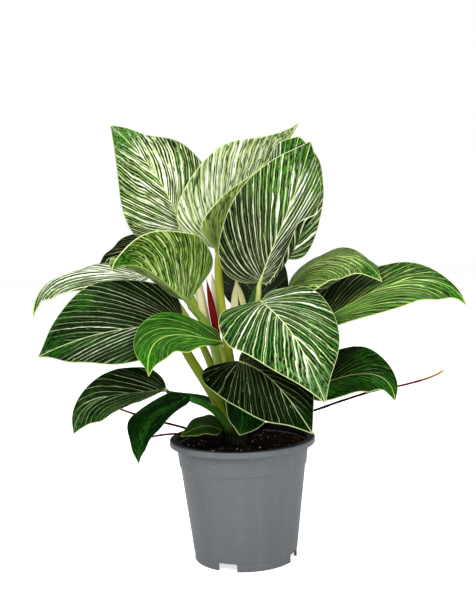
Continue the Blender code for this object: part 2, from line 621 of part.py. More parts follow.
def build_root(name: str, points: Sequence[Point]) -> bpy.types.Object:
    """A thin aerial root through its points, tapering towards its tip."""
    curve = bpy.data.curves.new(name, "CURVE")
    curve.dimensions = "3D"
    curve.bevel_depth = ROOT_R * MM
    curve.bevel_resolution = 1
    curve.use_fill_caps = True
    curve.resolution_u = 3
    spline = curve.splines.new("BEZIER")
    spline.bezier_points.add(len(points) - 1)
    for k, (knot, point) in enumerate(zip(spline.bezier_points, points)):
        knot.co = Vector(((point[0] + POT_AXIS[0]) * MM, (point[1] + POT_AXIS[1]) * MM, point[2] * MM))
        knot.handle_left_type = knot.handle_right_type = "AUTO"
        knot.radius = 1.15 - 0.35 * k / (len(points) - 1)
    source = bpy.data.objects.new(name + "_curve", curve)
    bpy.context.scene.collection.objects.link(source)
    graph = bpy.context.evaluated_depsgraph_get()
    graph.update()
    data = bpy.data.meshes.new_from_object(source.evaluated_get(graph))
    bpy.data.objects.remove(source)
    mesh = bmesh.new()
    mesh.from_mesh(data)
    bmesh.ops.remove_doubles(mesh, verts=mesh.verts, dist=1e-6)
    mesh.to_mesh(data)
    mesh.free()
    data.name = name
    root = bpy.data.objects.new(name, data)
    bpy.context.scene.collection.objects.link(root)
    face_out(root)
    return root


def main() -> None:
    """Clear the startup scene and build every piece."""
    for thing in list(bpy.data.objects):
        bpy.data.objects.remove(thing)
    build_pot()
    build_soil()
    build_crown()
    for leaf in LEAVES + SHEATHS:
        leaf_body(leaf)
    for name, points in ROOTS.items():
        build_root(name, points)
    for thing in bpy.context.scene.objects:
        LOG.info("%s: %d faces", thing.name, len(thing.data.polygons))


main()
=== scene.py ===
"""A potted philodendron with striped leaves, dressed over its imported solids.

The sizes are millimetres, measured from the pot's axis and from the floor, and
they are turned into metres when a mesh is placed. +X is the plant's right as
seen from the front and +Y points away from the front.
"""
from __future__ import annotations

import json
import logging
import math
import random
from dataclasses import dataclass, replace
from enum import Enum
from functools import cache
from typing import Callable, Optional, Sequence, Union

import bmesh
import bpy
import numpy as np
from mathutils import Matrix, Vector

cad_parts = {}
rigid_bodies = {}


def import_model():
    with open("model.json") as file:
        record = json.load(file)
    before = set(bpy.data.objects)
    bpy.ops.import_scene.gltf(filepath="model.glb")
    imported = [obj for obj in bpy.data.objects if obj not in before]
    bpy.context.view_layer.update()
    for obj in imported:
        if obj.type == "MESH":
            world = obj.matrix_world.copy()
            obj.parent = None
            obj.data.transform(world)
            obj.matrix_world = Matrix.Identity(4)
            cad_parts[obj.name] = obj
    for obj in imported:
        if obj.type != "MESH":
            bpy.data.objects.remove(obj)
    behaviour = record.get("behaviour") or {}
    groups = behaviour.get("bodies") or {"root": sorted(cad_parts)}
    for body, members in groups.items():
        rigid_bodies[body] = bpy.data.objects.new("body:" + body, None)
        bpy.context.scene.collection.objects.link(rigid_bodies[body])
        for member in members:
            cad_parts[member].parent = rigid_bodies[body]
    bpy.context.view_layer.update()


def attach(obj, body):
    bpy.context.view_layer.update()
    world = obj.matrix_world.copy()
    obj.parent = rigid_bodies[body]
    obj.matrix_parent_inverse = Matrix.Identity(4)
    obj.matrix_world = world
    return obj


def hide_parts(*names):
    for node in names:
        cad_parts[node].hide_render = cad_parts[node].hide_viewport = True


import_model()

LOG = logging.getLogger("scene")
MM = 0.001
POT_AXIS = (0.0, 1.0)
CROWN_XY = (-5.0, 0.0)
STALK_GAP = 0.3
STALK_END_R = 1.3
TAU = 2 * math.pi

Point = tuple[float, float, float]
Colour = tuple[float, float, float]
Number = Union["Wire", float]
Halves = Union[float, tuple[float, float]]


def paint(red: float, green: float, blue: float) -> tuple[float, ...]:
    """Turn a screen colour, from 0 to 255 each, into the renderer's."""
    shares = (red / 255, green / 255, blue / 255)
    return (*(v / 12.92 if v <= 0.04045 else ((v + 0.055) / 1.055) ** 2.4 for v in shares), 1.0)


def unit(v: np.ndarray) -> np.ndarray:
    """Scale the last axis to length one."""
    v = np.asarray(v, float)
    return v / np.linalg.norm(v, axis=-1, keepdims=True)


def pair(v: Halves) -> tuple[float, float]:
    """One value for both halves of a leaf, or the two given."""
    return v if isinstance(v, tuple) else (v, v)


def eased(v: np.ndarray) -> np.ndarray:
    """An eased step from 0 to 1."""
    v = np.clip(v, 0.0, 1.0)
    return v * v * (3 - 2 * v)


class Rib:
    """A smooth curve through a few points, read by its length from the start."""

    def __init__(self, points: Sequence[Point], samples: int = 120, dense: bool = False) -> None:
        """Lay the curve.

        Args:
            points: the points that it passes.
            samples: how many places are kept along it.
            dense: whether the points already lie close together, and are kept as they are.
        """
        p = np.asarray(points, float)
        if not dense:
            u = np.concatenate([[0.0], np.cumsum(np.sqrt(np.linalg.norm(np.diff(p, axis=0), axis=1)))])
            u /= u[-1]
            p = np.vander(np.linspace(0, 1, samples), len(p)) @ np.linalg.solve(np.vander(u, len(p)), p)
        self.points = p
        self.reach = np.concatenate([[0.0], np.cumsum(np.linalg.norm(np.diff(p, axis=0), axis=1))])
        self.length = float(self.reach[-1])
        self.along = unit(np.gradient(p, axis=0))

    def at(self, y: np.ndarray) -> tuple[np.ndarray, np.ndarray]:
        """Read the curve.

        Args:
            y: lengths from the start; beyond the ends it runs straight on.

        Returns:
            The points and the directions there.
        """
        y = np.atleast_1d(np.asarray(y, float))
        held = np.clip(y, 0.0, self.length)
        p, t = (np.stack([np.interp(held, self.reach, column) for column in table.T], axis=1)
                for table in (self.points, self.along))
        t = unit(t)
        return p + t * (y - held)[:, None], t


@dataclass(frozen=True)
class Roll:
    """A margin that rolls up: which half, how far it turns, and where."""

    side: int
    angle: float
    start: float
    end: float
    part: float


@dataclass(frozen=True)
class Leaf:
    """One blade, laid over its midrib and over one point on each margin."""

    name: str
    midrib: Sequence[Point]
    left: Point
    right: Point
    stalk: Sequence[Point] = ()
    stalk_r: tuple[float, float] = (4.2, 2.4)
    widest: Halves = 0.36
    lobe: Halves = 0.05
    sinus: Halves = 70.0
    taper: Halves = 0.4
    full: Halves = 0.5
    reach: float = 0.3
    curl: tuple[float, float] = (0.0, 0.0)
    lift: tuple[float, float] = (0.0, 0.0)
    wave: float = 1.5
    waves: float = 3.0
    phase: float = 0.0
    roll: Optional[Roll] = None
    thick: float = 2.0


# The midrib from base to tip, the left and right margin points, and the stalk from crown to blade.
LEAVES = (
    Leaf("leaf_tall_left", ((-45, 4, 269), (-59, 12, 309), (-104, 44, 363)),
         (-94, 0, 294), (-24, 27, 327), ((-8, 4, 104), (-21, 9, 172), (-34, 12, 222)),
         widest=(0.2, 0.36), taper=(0.4, 0.36), full=(0.3, 0.34), lift=(10, -5), wave=2.5, phase=0.0),
    Leaf("leaf_tall_folded", ((-17, 4, 256), (3, 18, 285), (27, 24, 318), (55, 16, 357)),
         (-39, -2, 308), (-24, -15, 283), ((-3, 5, 104), (-9.5, 0.5, 175), (-14.5, 1.5, 222)),
         stalk_r=(4.4, 3.3), widest=(0.28, 0.14), lobe=(0.12, 0.1), full=(0.7, 0.1), taper=(0.3, 0.08), reach=0.4,
         sinus=(60, 80)),
    Leaf("leaf_tall_front", ((18, -22, 228), (30, -32, 258), (45, -34, 292), (62, -14, 339)),
         (-7, -42, 281), (60, -28, 272), ((0, -2, 106), (8, -14, 173), (15, -23, 208)),
         lobe=(0.03, -0.04), sinus=75, curl=(-20, 10), full=(0.45, 0.72), taper=(0.4, 0.5),
         roll=Roll(1, 215, 0.03, 0.55, 0.5)),
    Leaf("leaf_tall_back", ((33, 10, 248), (42, 8, 298), (54, 6, 345)),
         (20, 8, 291), (71, 18, 280), ((1, 3, 106), (9, 0, 188), (14, 5, 218), (26, 14, 232)),
         full=(0.9, 0.6), taper=(1.0, 0.8), reach=0.18, sinus=75, phase=0.4),
    Leaf("leaf_arched_left", ((-39, -14, 214), (-60, -42, 236), (-76, -68, 247), (-91, -84, 244)),
         (-36, -46, 274), (-71, -12, 232), ((-10, -3, 106), (-16, -5, 167), (-26, -8, 194)),
         stalk_r=(4.4, 3.4), full=(0.14, 0.62), taper=(0.5, 0.5), reach=0.06, widest=(0.36, 0.5), lobe=(0.05, -0.3),
         sinus=(100, 110)),
    Leaf("leaf_upper_left_back", ((-49, 16, 240), (-83, 48, 254), (-128, 86, 238)),
         (-80, 27, 250), (-90, 70, 274), ((-9, 4, 104), (-27, 18, 188), (-42, 22, 222)),
         full=(0.6, 0.9), taper=(0.4, 1.0), lobe=0.12, phase=0.2),
    Leaf("leaf_long_left", ((-71, 4, 237), (-109, 13, 240), (-144, 22, 239), (-166, 27, 226), (-174, 28, 202)),
         (-145, 4, 222), (-114, 46, 246), ((-10, 3, 102), (-33, 14, 180), (-55, 14, 217)),
         full=(0.5, 0.05), taper=(0.35, 0.1), lobe=(-0.2, 0.0), widest=(0.62, 0.36), sinus=(85, 72), lift=(0, -60),
         wave=1.0, phase=0.1),
    Leaf("leaf_broad_left", ((-45, -16, 198), (-82, -38, 197), (-113, -50, 193), (-153, -60, 179)),
         (-92, -74, 174), (-99, -21, 234), ((-9, -4, 104), (-23, -9, 138), (-41, -13, 170), (-47, -14, 185)),
         stalk_r=(4.6, 3.8), full=(0.6, 0.5), widest=0.42, lobe=(-0.15, 0.03), sinus=(90, 60), phase=0.3),
    Leaf("leaf_heart_front", ((18, -44, 215), (33, -64, 201), (45, -80, 183), (61, -98, 143)),
         (68, -41, 213), (-10, -78, 189), ((0, -5, 106), (5, -14, 172), (12, -32, 198)),
         stalk_r=(4.2, 2.6), full=(0.5, 0.2), taper=(0.3, 0.3), lobe=(0.12, 0.15), sinus=55, widest=(0.2, 0.28),
         phase=0.15),
    Leaf("leaf_small_left", ((-13, -38, 184), (-36, -54, 191), (-59, -68, 191), (-68, -78, 164)),
         (-48, -88, 184), (-58, -46, 208), ((-5, -6, 108), (-10, -13, 146), (-12, -22, 166)),
         stalk_r=(4.0, 2.0), full=(0.62, 0.7), taper=(0.4, 0.1), widest=(0.5, 0.42), lobe=(-0.42, 0.0),
         sinus=(130, 90), phase=0.5),
    Leaf("leaf_dark_front", ((-1, -36, 168), (17, -54, 161), (33, -75, 147), (51, -96, 121)),
         (46, -43, 174), (-14, -66, 145), ((-2, -6, 108), (-3, -17, 145)),
         stalk_r=(4.2, 2.4), full=(0.35, 0.6), lobe=(0.1, 0.46), sinus=(60, 15), widest=0.28, phase=0.25),
    Leaf("leaf_right_upper", ((42, 8, 218), (63, 2, 241), (92, -8, 246), (114, -28, 226)),
         (80, 30, 252), (84, -38, 233), ((3, 2, 106), (19, 4, 175), (35, 8, 203)),
         full=(0.25, 0.52), taper=(0.06, 0.45), widest=(0.3, 0.4), lobe=(0.12, 0.05), phase=0.35),
    Leaf("leaf_right_long", ((64, -16, 195), (100, -24, 215), (127, -34, 226), (154, -46, 226), (174, -54, 207)),
         (104, 16, 235), (124, -58, 210), ((4, -2, 106), (24, -8, 160), (53, -12, 188)),
         full=(0.05, 0.7), taper=(0.06, 0.35), widest=(0.32, 0.5), lobe=(0.36, -0.15), sinus=(45, 110), phase=0.1),
    Leaf("leaf_right_back", ((53, 27, 219), (96, 62, 239), (142, 96, 228)),
         (100, 84, 250), (98, 48, 224), ((2, 6, 104), (19, 14, 182), (42, 22, 210)),
         full=0.55, lobe=0.12),
    Leaf("leaf_right_low", ((61, -10, 142), (89, -22, 152), (111, -30, 151), (121, -38, 132)),
         (94, 8, 172), (88, -46, 141), ((5, -2, 104), (24, -4, 130)),
         stalk_r=(4.0, 2.2), full=(0.1, 0.6), taper=(0.1, 0.4), widest=0.4, sinus=60, phase=0.4),
    Leaf("leaf_low_left", ((-60, -16, 145), (-93, -30, 144), (-118, -42, 139), (-130, -52, 117)),
         (-109, -58, 128), (-96, 0, 161), ((-9, -1, 106), (-24, -4, 131), (-42, -8, 137)),
         stalk_r=(3.0, 1.9), full=(0.6, 0.1), taper=(0.4, 0.15), widest=(0.66, 0.34), lobe=(-0.6, 0.05),
         sinus=(155, 75), wave=0.8),
    Leaf("leaf_low_left_small", ((-41, -34, 142), (-59, -48, 134), (-72, -60, 123), (-79, -70, 97)),
         (-66, -69, 121), (-82, -34, 131), ((-8, -5, 104), (-22, -14, 125), (-33, -24, 134)),
         stalk_r=(3.6, 2.6), full=(0.55, 0.42), taper=(0.35, 0.3), widest=0.45, lobe=(-0.12, 0.0), sinus=90,
         wave=1.0, phase=0.2),
    Leaf("leaf_on_soil", ((-17, -4, 107), (-31, -4, 111), (-51, -2, 102)),
         (-31, -14, 106), (-36, 10, 117), (), full=0.6, taper=0.5, wave=0.5, lobe=0.0, sinus=90, thick=1.4),
    Leaf("leaf_under_front", ((-4, -27, 142), (0, -34, 127), (-2, -38, 109)),
         (22, -34, 122), (-12, -30, 129), ((-3, -7, 104), (-5, -16, 124)),
         stalk_r=(2.4, 1.6), full=0.5, taper=0.5, widest=0.45, wave=0.5, thick=1.6),
    Leaf("leaf_middle_back", ((15, 22, 211), (12, 52, 241), (6, 92, 256)),
         (-16, 56, 240), (43, 60, 238), ((0, 5, 106), (9, 8, 175), (13, 14, 197)),
         full=0.6, lobe=0.12, phase=0.3),
)

# Where each sheath is widest, its name, its midrib and its margin points.
SHEATHS = tuple(Leaf(*places, widest=widest, lobe=0.0, sinus=90, wave=0.0, thick=1.0) for widest, *places in (
    (0.42, "sheath_red", ((-16.8, -2.8, 178), (-21, -3, 206), (-25, -4, 232)), (-24, -1, 205), (-18, -1, 205)),
    (0.5, "sheath_cream_middle", ((-13.6, 4.0, 186), (-17, 5.5, 214), (-21, 6, 236)), (-21, 6.5, 212),
     (-14, 6.5, 212)),
    (0.5, "sheath_cream_left", ((-22, 4.8, 178), (-28, 3, 209), (-32, 4, 239)), (-32, 5, 207), (-25, 5, 207)),
    (0.48, "sheath_cream_front", ((0, -4, 180), (0, -6, 208), (-1, -6, 231)), (-6, -3, 205), (7, -3, 205)),
))


class Blade:
    """The surface of one leaf: a heart shape, folded at its midrib and waved at its edges."""

    OUTER_SPAN = 0.42
    BEFORE_BASE = 0.35
    STATIONS = 136
    ROLL_EASE = 0.10
    RIGHT_SHIFT = 0.37

    def __init__(self, leaf: Leaf) -> None:
        """Lay out the blade.

        Args:
            leaf: its midrib, margin points and outline.
        """
        self.leaf = leaf
        self.rib = Rib(leaf.midrib)
        self.length = self.rib.length
        self.widest, self.lobe, self.sinus = pair(leaf.widest), pair(leaf.lobe), pair(leaf.sinus)
        self.taper, self.full = pair(leaf.taper), pair(leaf.full)
        self.curl = [math.radians(c) for c in leaf.curl]
        self._fold_halves()

    def _fold_halves(self) -> None:
        """Find how each half leans and how wide it is from its margin point."""
        arms = []
        for point, at in ((self.leaf.left, self.widest[0]), (self.leaf.right, self.widest[1])):
            centre, along = (v[0] for v in self.rib.at(at * self.length))
            arm = np.asarray(point, float) - centre
            arms.append((arm, float(np.linalg.norm(arm - along * (arm @ along)))))
        middle = (self.widest[0] + self.widest[1]) / 2 * self.length
        along = self.rib.at(middle)[1][0]
        flat = [unit(arm - along * (arm @ along)) * width for arm, width in arms]
        across = unit(unit(flat[1]) - unit(flat[0]))
        normal = np.cross(across, along)
        self.fold, self.half = [], []
        for k, (arm, sign) in enumerate(((flat[0], -1), (flat[1], 1))):
            angle = math.atan2(arm @ normal, sign * (arm @ across))
            bend = self.curl[k]
            self.fold.append(angle - bend / 2)
            chord = 1.0 if abs(bend) < 1e-6 else math.sin(bend / 2) / (bend / 2)
            self.half.append(float(np.linalg.norm(arm)) / chord)
        self._carry_normal(middle, normal)

    def _carry_normal(self, middle: float, normal: np.ndarray) -> None:
        """Carry the upper side's normal along the midrib without twist.

        Args:
            middle: the length at which the normal is known.
            normal: the upper side's normal there.
        """
        stations = np.linspace(-self.BEFORE_BASE * self.length, self.length, self.STATIONS)
        centre = int(np.argmin(abs(stations - middle)))
        along = self.rib.at(stations)[1]
        normals = [normal] * len(stations)
        normals[centre] = unit(normal - along[centre] * (normal @ along[centre]))
        for span in (range(centre + 1, len(stations)), range(centre - 1, -1, -1)):
            last = normals[centre]
            for i in span:
                last = unit(last - along[i] * (last @ along[i]))
                normals[i] = last
        self.stations, self.normals = stations, np.array(normals)

    def frame(self, y: np.ndarray) -> tuple[np.ndarray, np.ndarray, np.ndarray, np.ndarray]:
        """Read the midrib.

        Args:
            y: lengths along it.

        Returns:
            Points, directions, rightward and upward at those lengths.
        """
        point, along = self.rib.at(y)
        y = np.atleast_1d(y)
        normal = np.stack([np.interp(y, self.stations, column) for column in self.normals.T], axis=1)
        normal = unit(normal - along * np.sum(normal * along, axis=1, keepdims=True))
        return point, along, np.cross(along, normal), normal

    def margin(self, side: int, s: np.ndarray) -> tuple[np.ndarray, np.ndarray]:
        """Read the flat outline of one half.

        Args:
            side: 0 for the left half, 1 for the right.
            s: from the base (0) to the tip (1).

        Returns:
            The distances from the midrib and along it.
        """
        width, length = self.half[side], self.length
        station, angle = self.widest[side] * length, math.radians(self.sinus[side])
        lower = ((0, 0), (math.sin(angle) * width / 2, -math.cos(angle) * width / 2),
                 (width, -self.lobe[side] * length), (width, station))
        upper = ((width, station), (width, station + self.full[side] * (length - station)),
                 (self.taper[side] * width, length - self.leaf.reach * (length - station)), (0, length))
        outer = s <= self.OUTER_SPAN
        part = np.where(outer, s / self.OUTER_SPAN, (s - self.OUTER_SPAN) / (1 - self.OUTER_SPAN))
        weights = ((1 - part) ** 3, 3 * (1 - part) ** 2 * part, 3 * (1 - part) * part ** 2, part ** 3)
        return tuple(np.where(outer, sum(w * p[k] for w, p in zip(weights, lower)),
                              sum(w * p[k] for w, p in zip(weights, upper))) for k in (0, 1))

    def points(self, side: int, s: np.ndarray, t: np.ndarray) -> tuple[np.ndarray, np.ndarray, np.ndarray]:
        """Find points of one half.

        Args:
            side: 0 for the left half, 1 for the right.
            s: the veins, from the base (0) to the tip (1).
            t: how far along the vein, from the midrib (0) to the margin (1).

        Returns:
            The points, the upper side's normals and the distances from the midrib.
        """
        xm, ym = self.margin(side, s)
        x, y = xm * t, self._row(s, ym, t)
        point, _, across, normal = self.frame(y)
        lean, turn = self._lean(side, y), self.curl[side] / self.half[side]
        out, up, end = self._bend(x, lean, turn)
        roll = self.leaf.roll
        if roll is not None and roll.side == side:
            amount = eased(np.minimum(s - roll.start, roll.end - s) / self.ROLL_EASE)
            hit = (t > 1 - roll.part) & (amount > 0)
            past = np.where(hit, x * (t - (1 - roll.part)) / np.maximum(t, 1e-6), 0.0)
            near = self._bend(x - past, lean, turn)
            tight = np.radians(roll.angle) * amount / np.maximum(x / np.maximum(t, 1e-6) * roll.part, 1e-6) + turn
            far = self._bend(past, near[2], tight)
            out, up = np.where(hit, near[0] + far[0], out), np.where(hit, near[1] + far[1], up)
            end = np.where(hit, far[2], end)
        ends = np.minimum(1.0, 6 * s) * np.minimum(1.0, 6 * (1 - s))
        cycle = np.sin(TAU * (self.leaf.waves * s + self.leaf.phase + self.RIGHT_SHIFT * side))
        wave = self.leaf.wave * t * t * cycle * ends
        sign = -1 if side == 0 else 1
        out, up = out - wave * np.sin(end), up + wave * np.cos(end)
        upward = normal * np.cos(end)[:, None] - across * (sign * np.sin(end))[:, None]
        return point + across * (sign * out)[:, None] + normal * up[:, None], upward, x

    def veins(self, side: int, s: np.ndarray, t: np.ndarray, steps: int = 480) -> np.ndarray:
        """Find which vein passes each place of one half.

        The veins leave the midrib low down, run up beside it and arch out to
        the margin, where they are counted from the base (0) to the tip (1).

        Args:
            side: 0 for the left half, 1 for the right.
            s: the places' rows, as in points().
            t: the places' columns, as in points().
            steps: how many veins are tried.

        Returns:
            The number of the vein at each place.
        """
        xm, ym = self.margin(side, s)
        x, y = xm * t, self._row(s, ym, t)
        number = np.linspace(0.0, 1.0, steps)
        xv, yv = self.margin(side, number)
        start = self.length * (0.02 * number + 0.98 * number ** 5.5)
        out = np.clip(x[:, None] / np.maximum(xv, 1e-6), 0.0, 1.0)
        arch = 0.5 * (1 - number) * xv * out * (1 - out)
        ahead = start + (yv - start) * (0.75 * out + 0.25 * out * out) - arch - y[:, None]
        ahead = np.where(xv < x[:, None] - 1e-6, np.where(number < s[:, None], -1e3, 1e3), ahead)
        last = np.clip(np.argmax(ahead > 0, axis=1), 1, steps - 1)
        rows = np.arange(len(s))
        below, above = np.maximum(ahead[rows, last - 1], -5.0), np.minimum(ahead[rows, last], 5.0)
        part = np.clip(-below / np.maximum(above - below, 1e-9), 0.0, 1.0)
        return number[last - 1] + part * (number[1] - number[0])

    def _row(self, s: np.ndarray, ym: np.ndarray, t: np.ndarray) -> np.ndarray:
        """How far along the midrib the place in row s and column t lies, its margin point at ym."""
        start = self.length * (0.25 * s + 0.75 * s ** 2.3)
        return start + (ym - start) * (0.45 * t + 0.55 * t * t)

    def _lean(self, side: int, y: np.ndarray) -> np.ndarray:
        """How far one half stands up from flat at a length along the midrib."""
        past = np.maximum(y / self.length - self.widest[side], 0.0) / (1 - self.widest[side])
        return self.fold[side] + math.radians(self.leaf.lift[side]) * past ** 1.5

    @staticmethod
    def _bend(x: np.ndarray, angle: np.ndarray, turn: np.ndarray) -> tuple[np.ndarray, np.ndarray, np.ndarray]:
        """Go along an arc.

        Args:
            x: how far.
            angle: the angle at which the arc starts.
            turn: how far it turns for each unit.

        Returns:
            The way out, the way up and the angle at the end.
        """
        turn = np.broadcast_to(turn, np.shape(x))
        safe = np.where(np.abs(turn) < 1e-7, 1.0, turn)
        end = angle + turn * x
        out = np.where(np.abs(turn) < 1e-7, x * np.cos(angle), (np.sin(end) - np.sin(angle)) / safe)
        up = np.where(np.abs(turn) < 1e-7, x * np.sin(angle), (np.cos(angle) - np.cos(end)) / safe)
        return out, up, end


def deselect() -> None:
    """Deselect everything."""
    if bpy.context.object and bpy.context.object.mode != "OBJECT":
        bpy.ops.object.mode_set(mode="OBJECT")
    for thing in bpy.context.view_layer.objects:
        thing.select_set(False)


def pick(thing: bpy.types.Object) -> None:
    """Make one object the selected and active one.

    Args:
        thing: the object.
    """
    deselect()
    thing.select_set(True)
    bpy.context.view_layer.objects.active = thing


def sheet(name: str, columns: int, rows: int) -> bpy.types.Object:
    """Add a flat grid with a UV map, ready to be laid over a form.

    Args:
        name: the object's name.
        columns: cells along its first direction.
        rows: cells along its second direction.

    Returns:
        The grid object.
    """
    deselect()
    bpy.ops.mesh.primitive_grid_add(x_subdivisions=columns, y_subdivisions=rows, size=2.0, calc_uvs=True)
    thing = bpy.context.object
    thing.name = thing.data.name = name
    return thing


def grid_places(thing: bpy.types.Object) -> tuple[np.ndarray, np.ndarray]:
    """Read where each vertex of a fresh grid lies.

    Args:
        thing: the grid.

    Returns:
        The places along its two directions, from -1 to 1.
    """
    co = np.zeros(len(thing.data.vertices) * 3)
    thing.data.vertices.foreach_get("co", co)
    co = co.reshape(-1, 3)
    return co[:, 0].copy(), co[:, 1].copy()


def lay(thing: bpy.types.Object, points: np.ndarray) -> None:
    """Put each vertex at its place.

    Args:
        thing: the object.
        points: the places in millimetres from the pot's axis.
    """
    place = (np.asarray(points, float) + np.array([*POT_AXIS, 0.0])) * MM
    thing.data.vertices.foreach_set("co", place.astype(np.float32).ravel())
    thing.data.update()


def note(thing: bpy.types.Object, name: str, values: np.ndarray) -> None:
    """Keep a number or a colour for each vertex, for the material to read.

    Args:
        thing: the object.
        name: the name that the material reads it by.
        values: the numbers or the colours.
    """
    kind, entry = ("FLOAT_COLOR", "color") if np.ndim(values) == 2 else ("FLOAT", "value")
    layer = thing.data.attributes.new(name, kind, "POINT")
    layer.data.foreach_set(entry, np.asarray(values, np.float32).ravel())


def weld(thing: bpy.types.Object, distance: float = 1e-5, outward: bool = True) -> None:
    """Merge vertices that meet.

    Args:
        thing: the object.
        distance: how close they lie, in metres.
        outward: whether the surface is then turned to face outwards.
    """
    pick(thing)
    bpy.ops.object.mode_set(mode="EDIT")
    bpy.ops.mesh.select_all(action="SELECT")
    bpy.ops.mesh.remove_doubles(threshold=distance)
    bpy.ops.mesh.delete_loose(use_verts=True, use_edges=True, use_faces=False)
    bpy.ops.mesh.select_all(action="SELECT")
    if outward:
        bpy.ops.mesh.normals_make_consistent(inside=False)
    bpy.ops.object.mode_set(mode="OBJECT")


def apply_modifiers(thing: bpy.types.Object) -> None:
    """Apply every modifier in order.

    Args:
        thing: the object.
    """
    pick(thing)
    for step in list(thing.modifiers):
        bpy.ops.object.modifier_apply(modifier=step.name)


def smooth(thing: bpy.types.Object, angle: float = 40.0) -> None:
    """Shade smooth, keeping edges sharper than an angle."""
    pick(thing)
    bpy.ops.object.shade_smooth_by_angle(angle=math.radians(angle))


def join(name: str, things: Sequence[bpy.types.Object]) -> bpy.types.Object:
    """Join several objects into one.

    Args:
        name: the joined object's name.
        things: the objects; the first one stays.

    Returns:
        The joined object.
    """
    deselect()
    for thing in things:
        thing.select_set(True)
    bpy.context.view_layer.objects.active = things[0]
    bpy.ops.object.join()
    things[0].name = things[0].data.name = name
    return things[0]


def tube(name: str, rib: Rib, radius: Callable[[np.ndarray], np.ndarray], rings: int, sides: int,
         flat: float = 1.0, upward: Point = (0.3, 0.9, 0.2)) -> bpy.types.Object:
    """Wrap a grid round a path and close its ends.

    Args:
        name: the object's name.
        rib: the path.
        radius: the radius by the fraction of the path's length.
        rings: how many sections.
        sides: how many sides.
        flat: height of the section as a share of its width.
        upward: a direction that the section's top looks away from.

    Returns:
        The tube.
    """
    thing = sheet(name, sides, rings)
    u, v = grid_places(thing)
    row = np.rint((v / 2 + 0.5) * rings).astype(int)
    f = np.linspace(0, 1, rings + 1)
    centre, along = rib.at(f * rib.length)
    up = np.zeros_like(along)
    last = unit(np.cross(along[0], upward))
    for k in range(rings + 1):
        last = unit(last - along[k] * (last @ along[k]))
        up[k] = last
    side = np.cross(along, up)
    r = radius(f)
    r[0] = r[-1] = 0.0
    turn = (u + 1) * math.pi
    points = (centre[row] + up[row] * (r[row] * flat * np.cos(turn))[:, None]
              + side[row] * (r[row] * np.sin(turn))[:, None])
    lay(thing, points)
    note(thing, "length_share", f[row])
    weld(thing)
    return thing


class Wire:
    """A node's output, which plain signs turn into new numbers."""

    def __init__(self, net: Net, socket: bpy.types.NodeSocket) -> None:
        """Hold the output and the nodes that it belongs to."""
        self.net, self.socket = net, socket

    def __add__(self, other: Number) -> Wire:
        """Add a number."""
        return self.net.math("ADD", self, other)

    def __mul__(self, other: Number) -> Wire:
        """Multiply by a number."""
        return self.net.math("MULTIPLY", self, other)

    def __sub__(self, other: Number) -> Wire:
        """Take a number away."""
        return self.net.math("SUBTRACT", self, other)

    def __rsub__(self, other: float) -> Wire:
        """Take this away from a number."""
        return self.net.math("SUBTRACT", other, self)


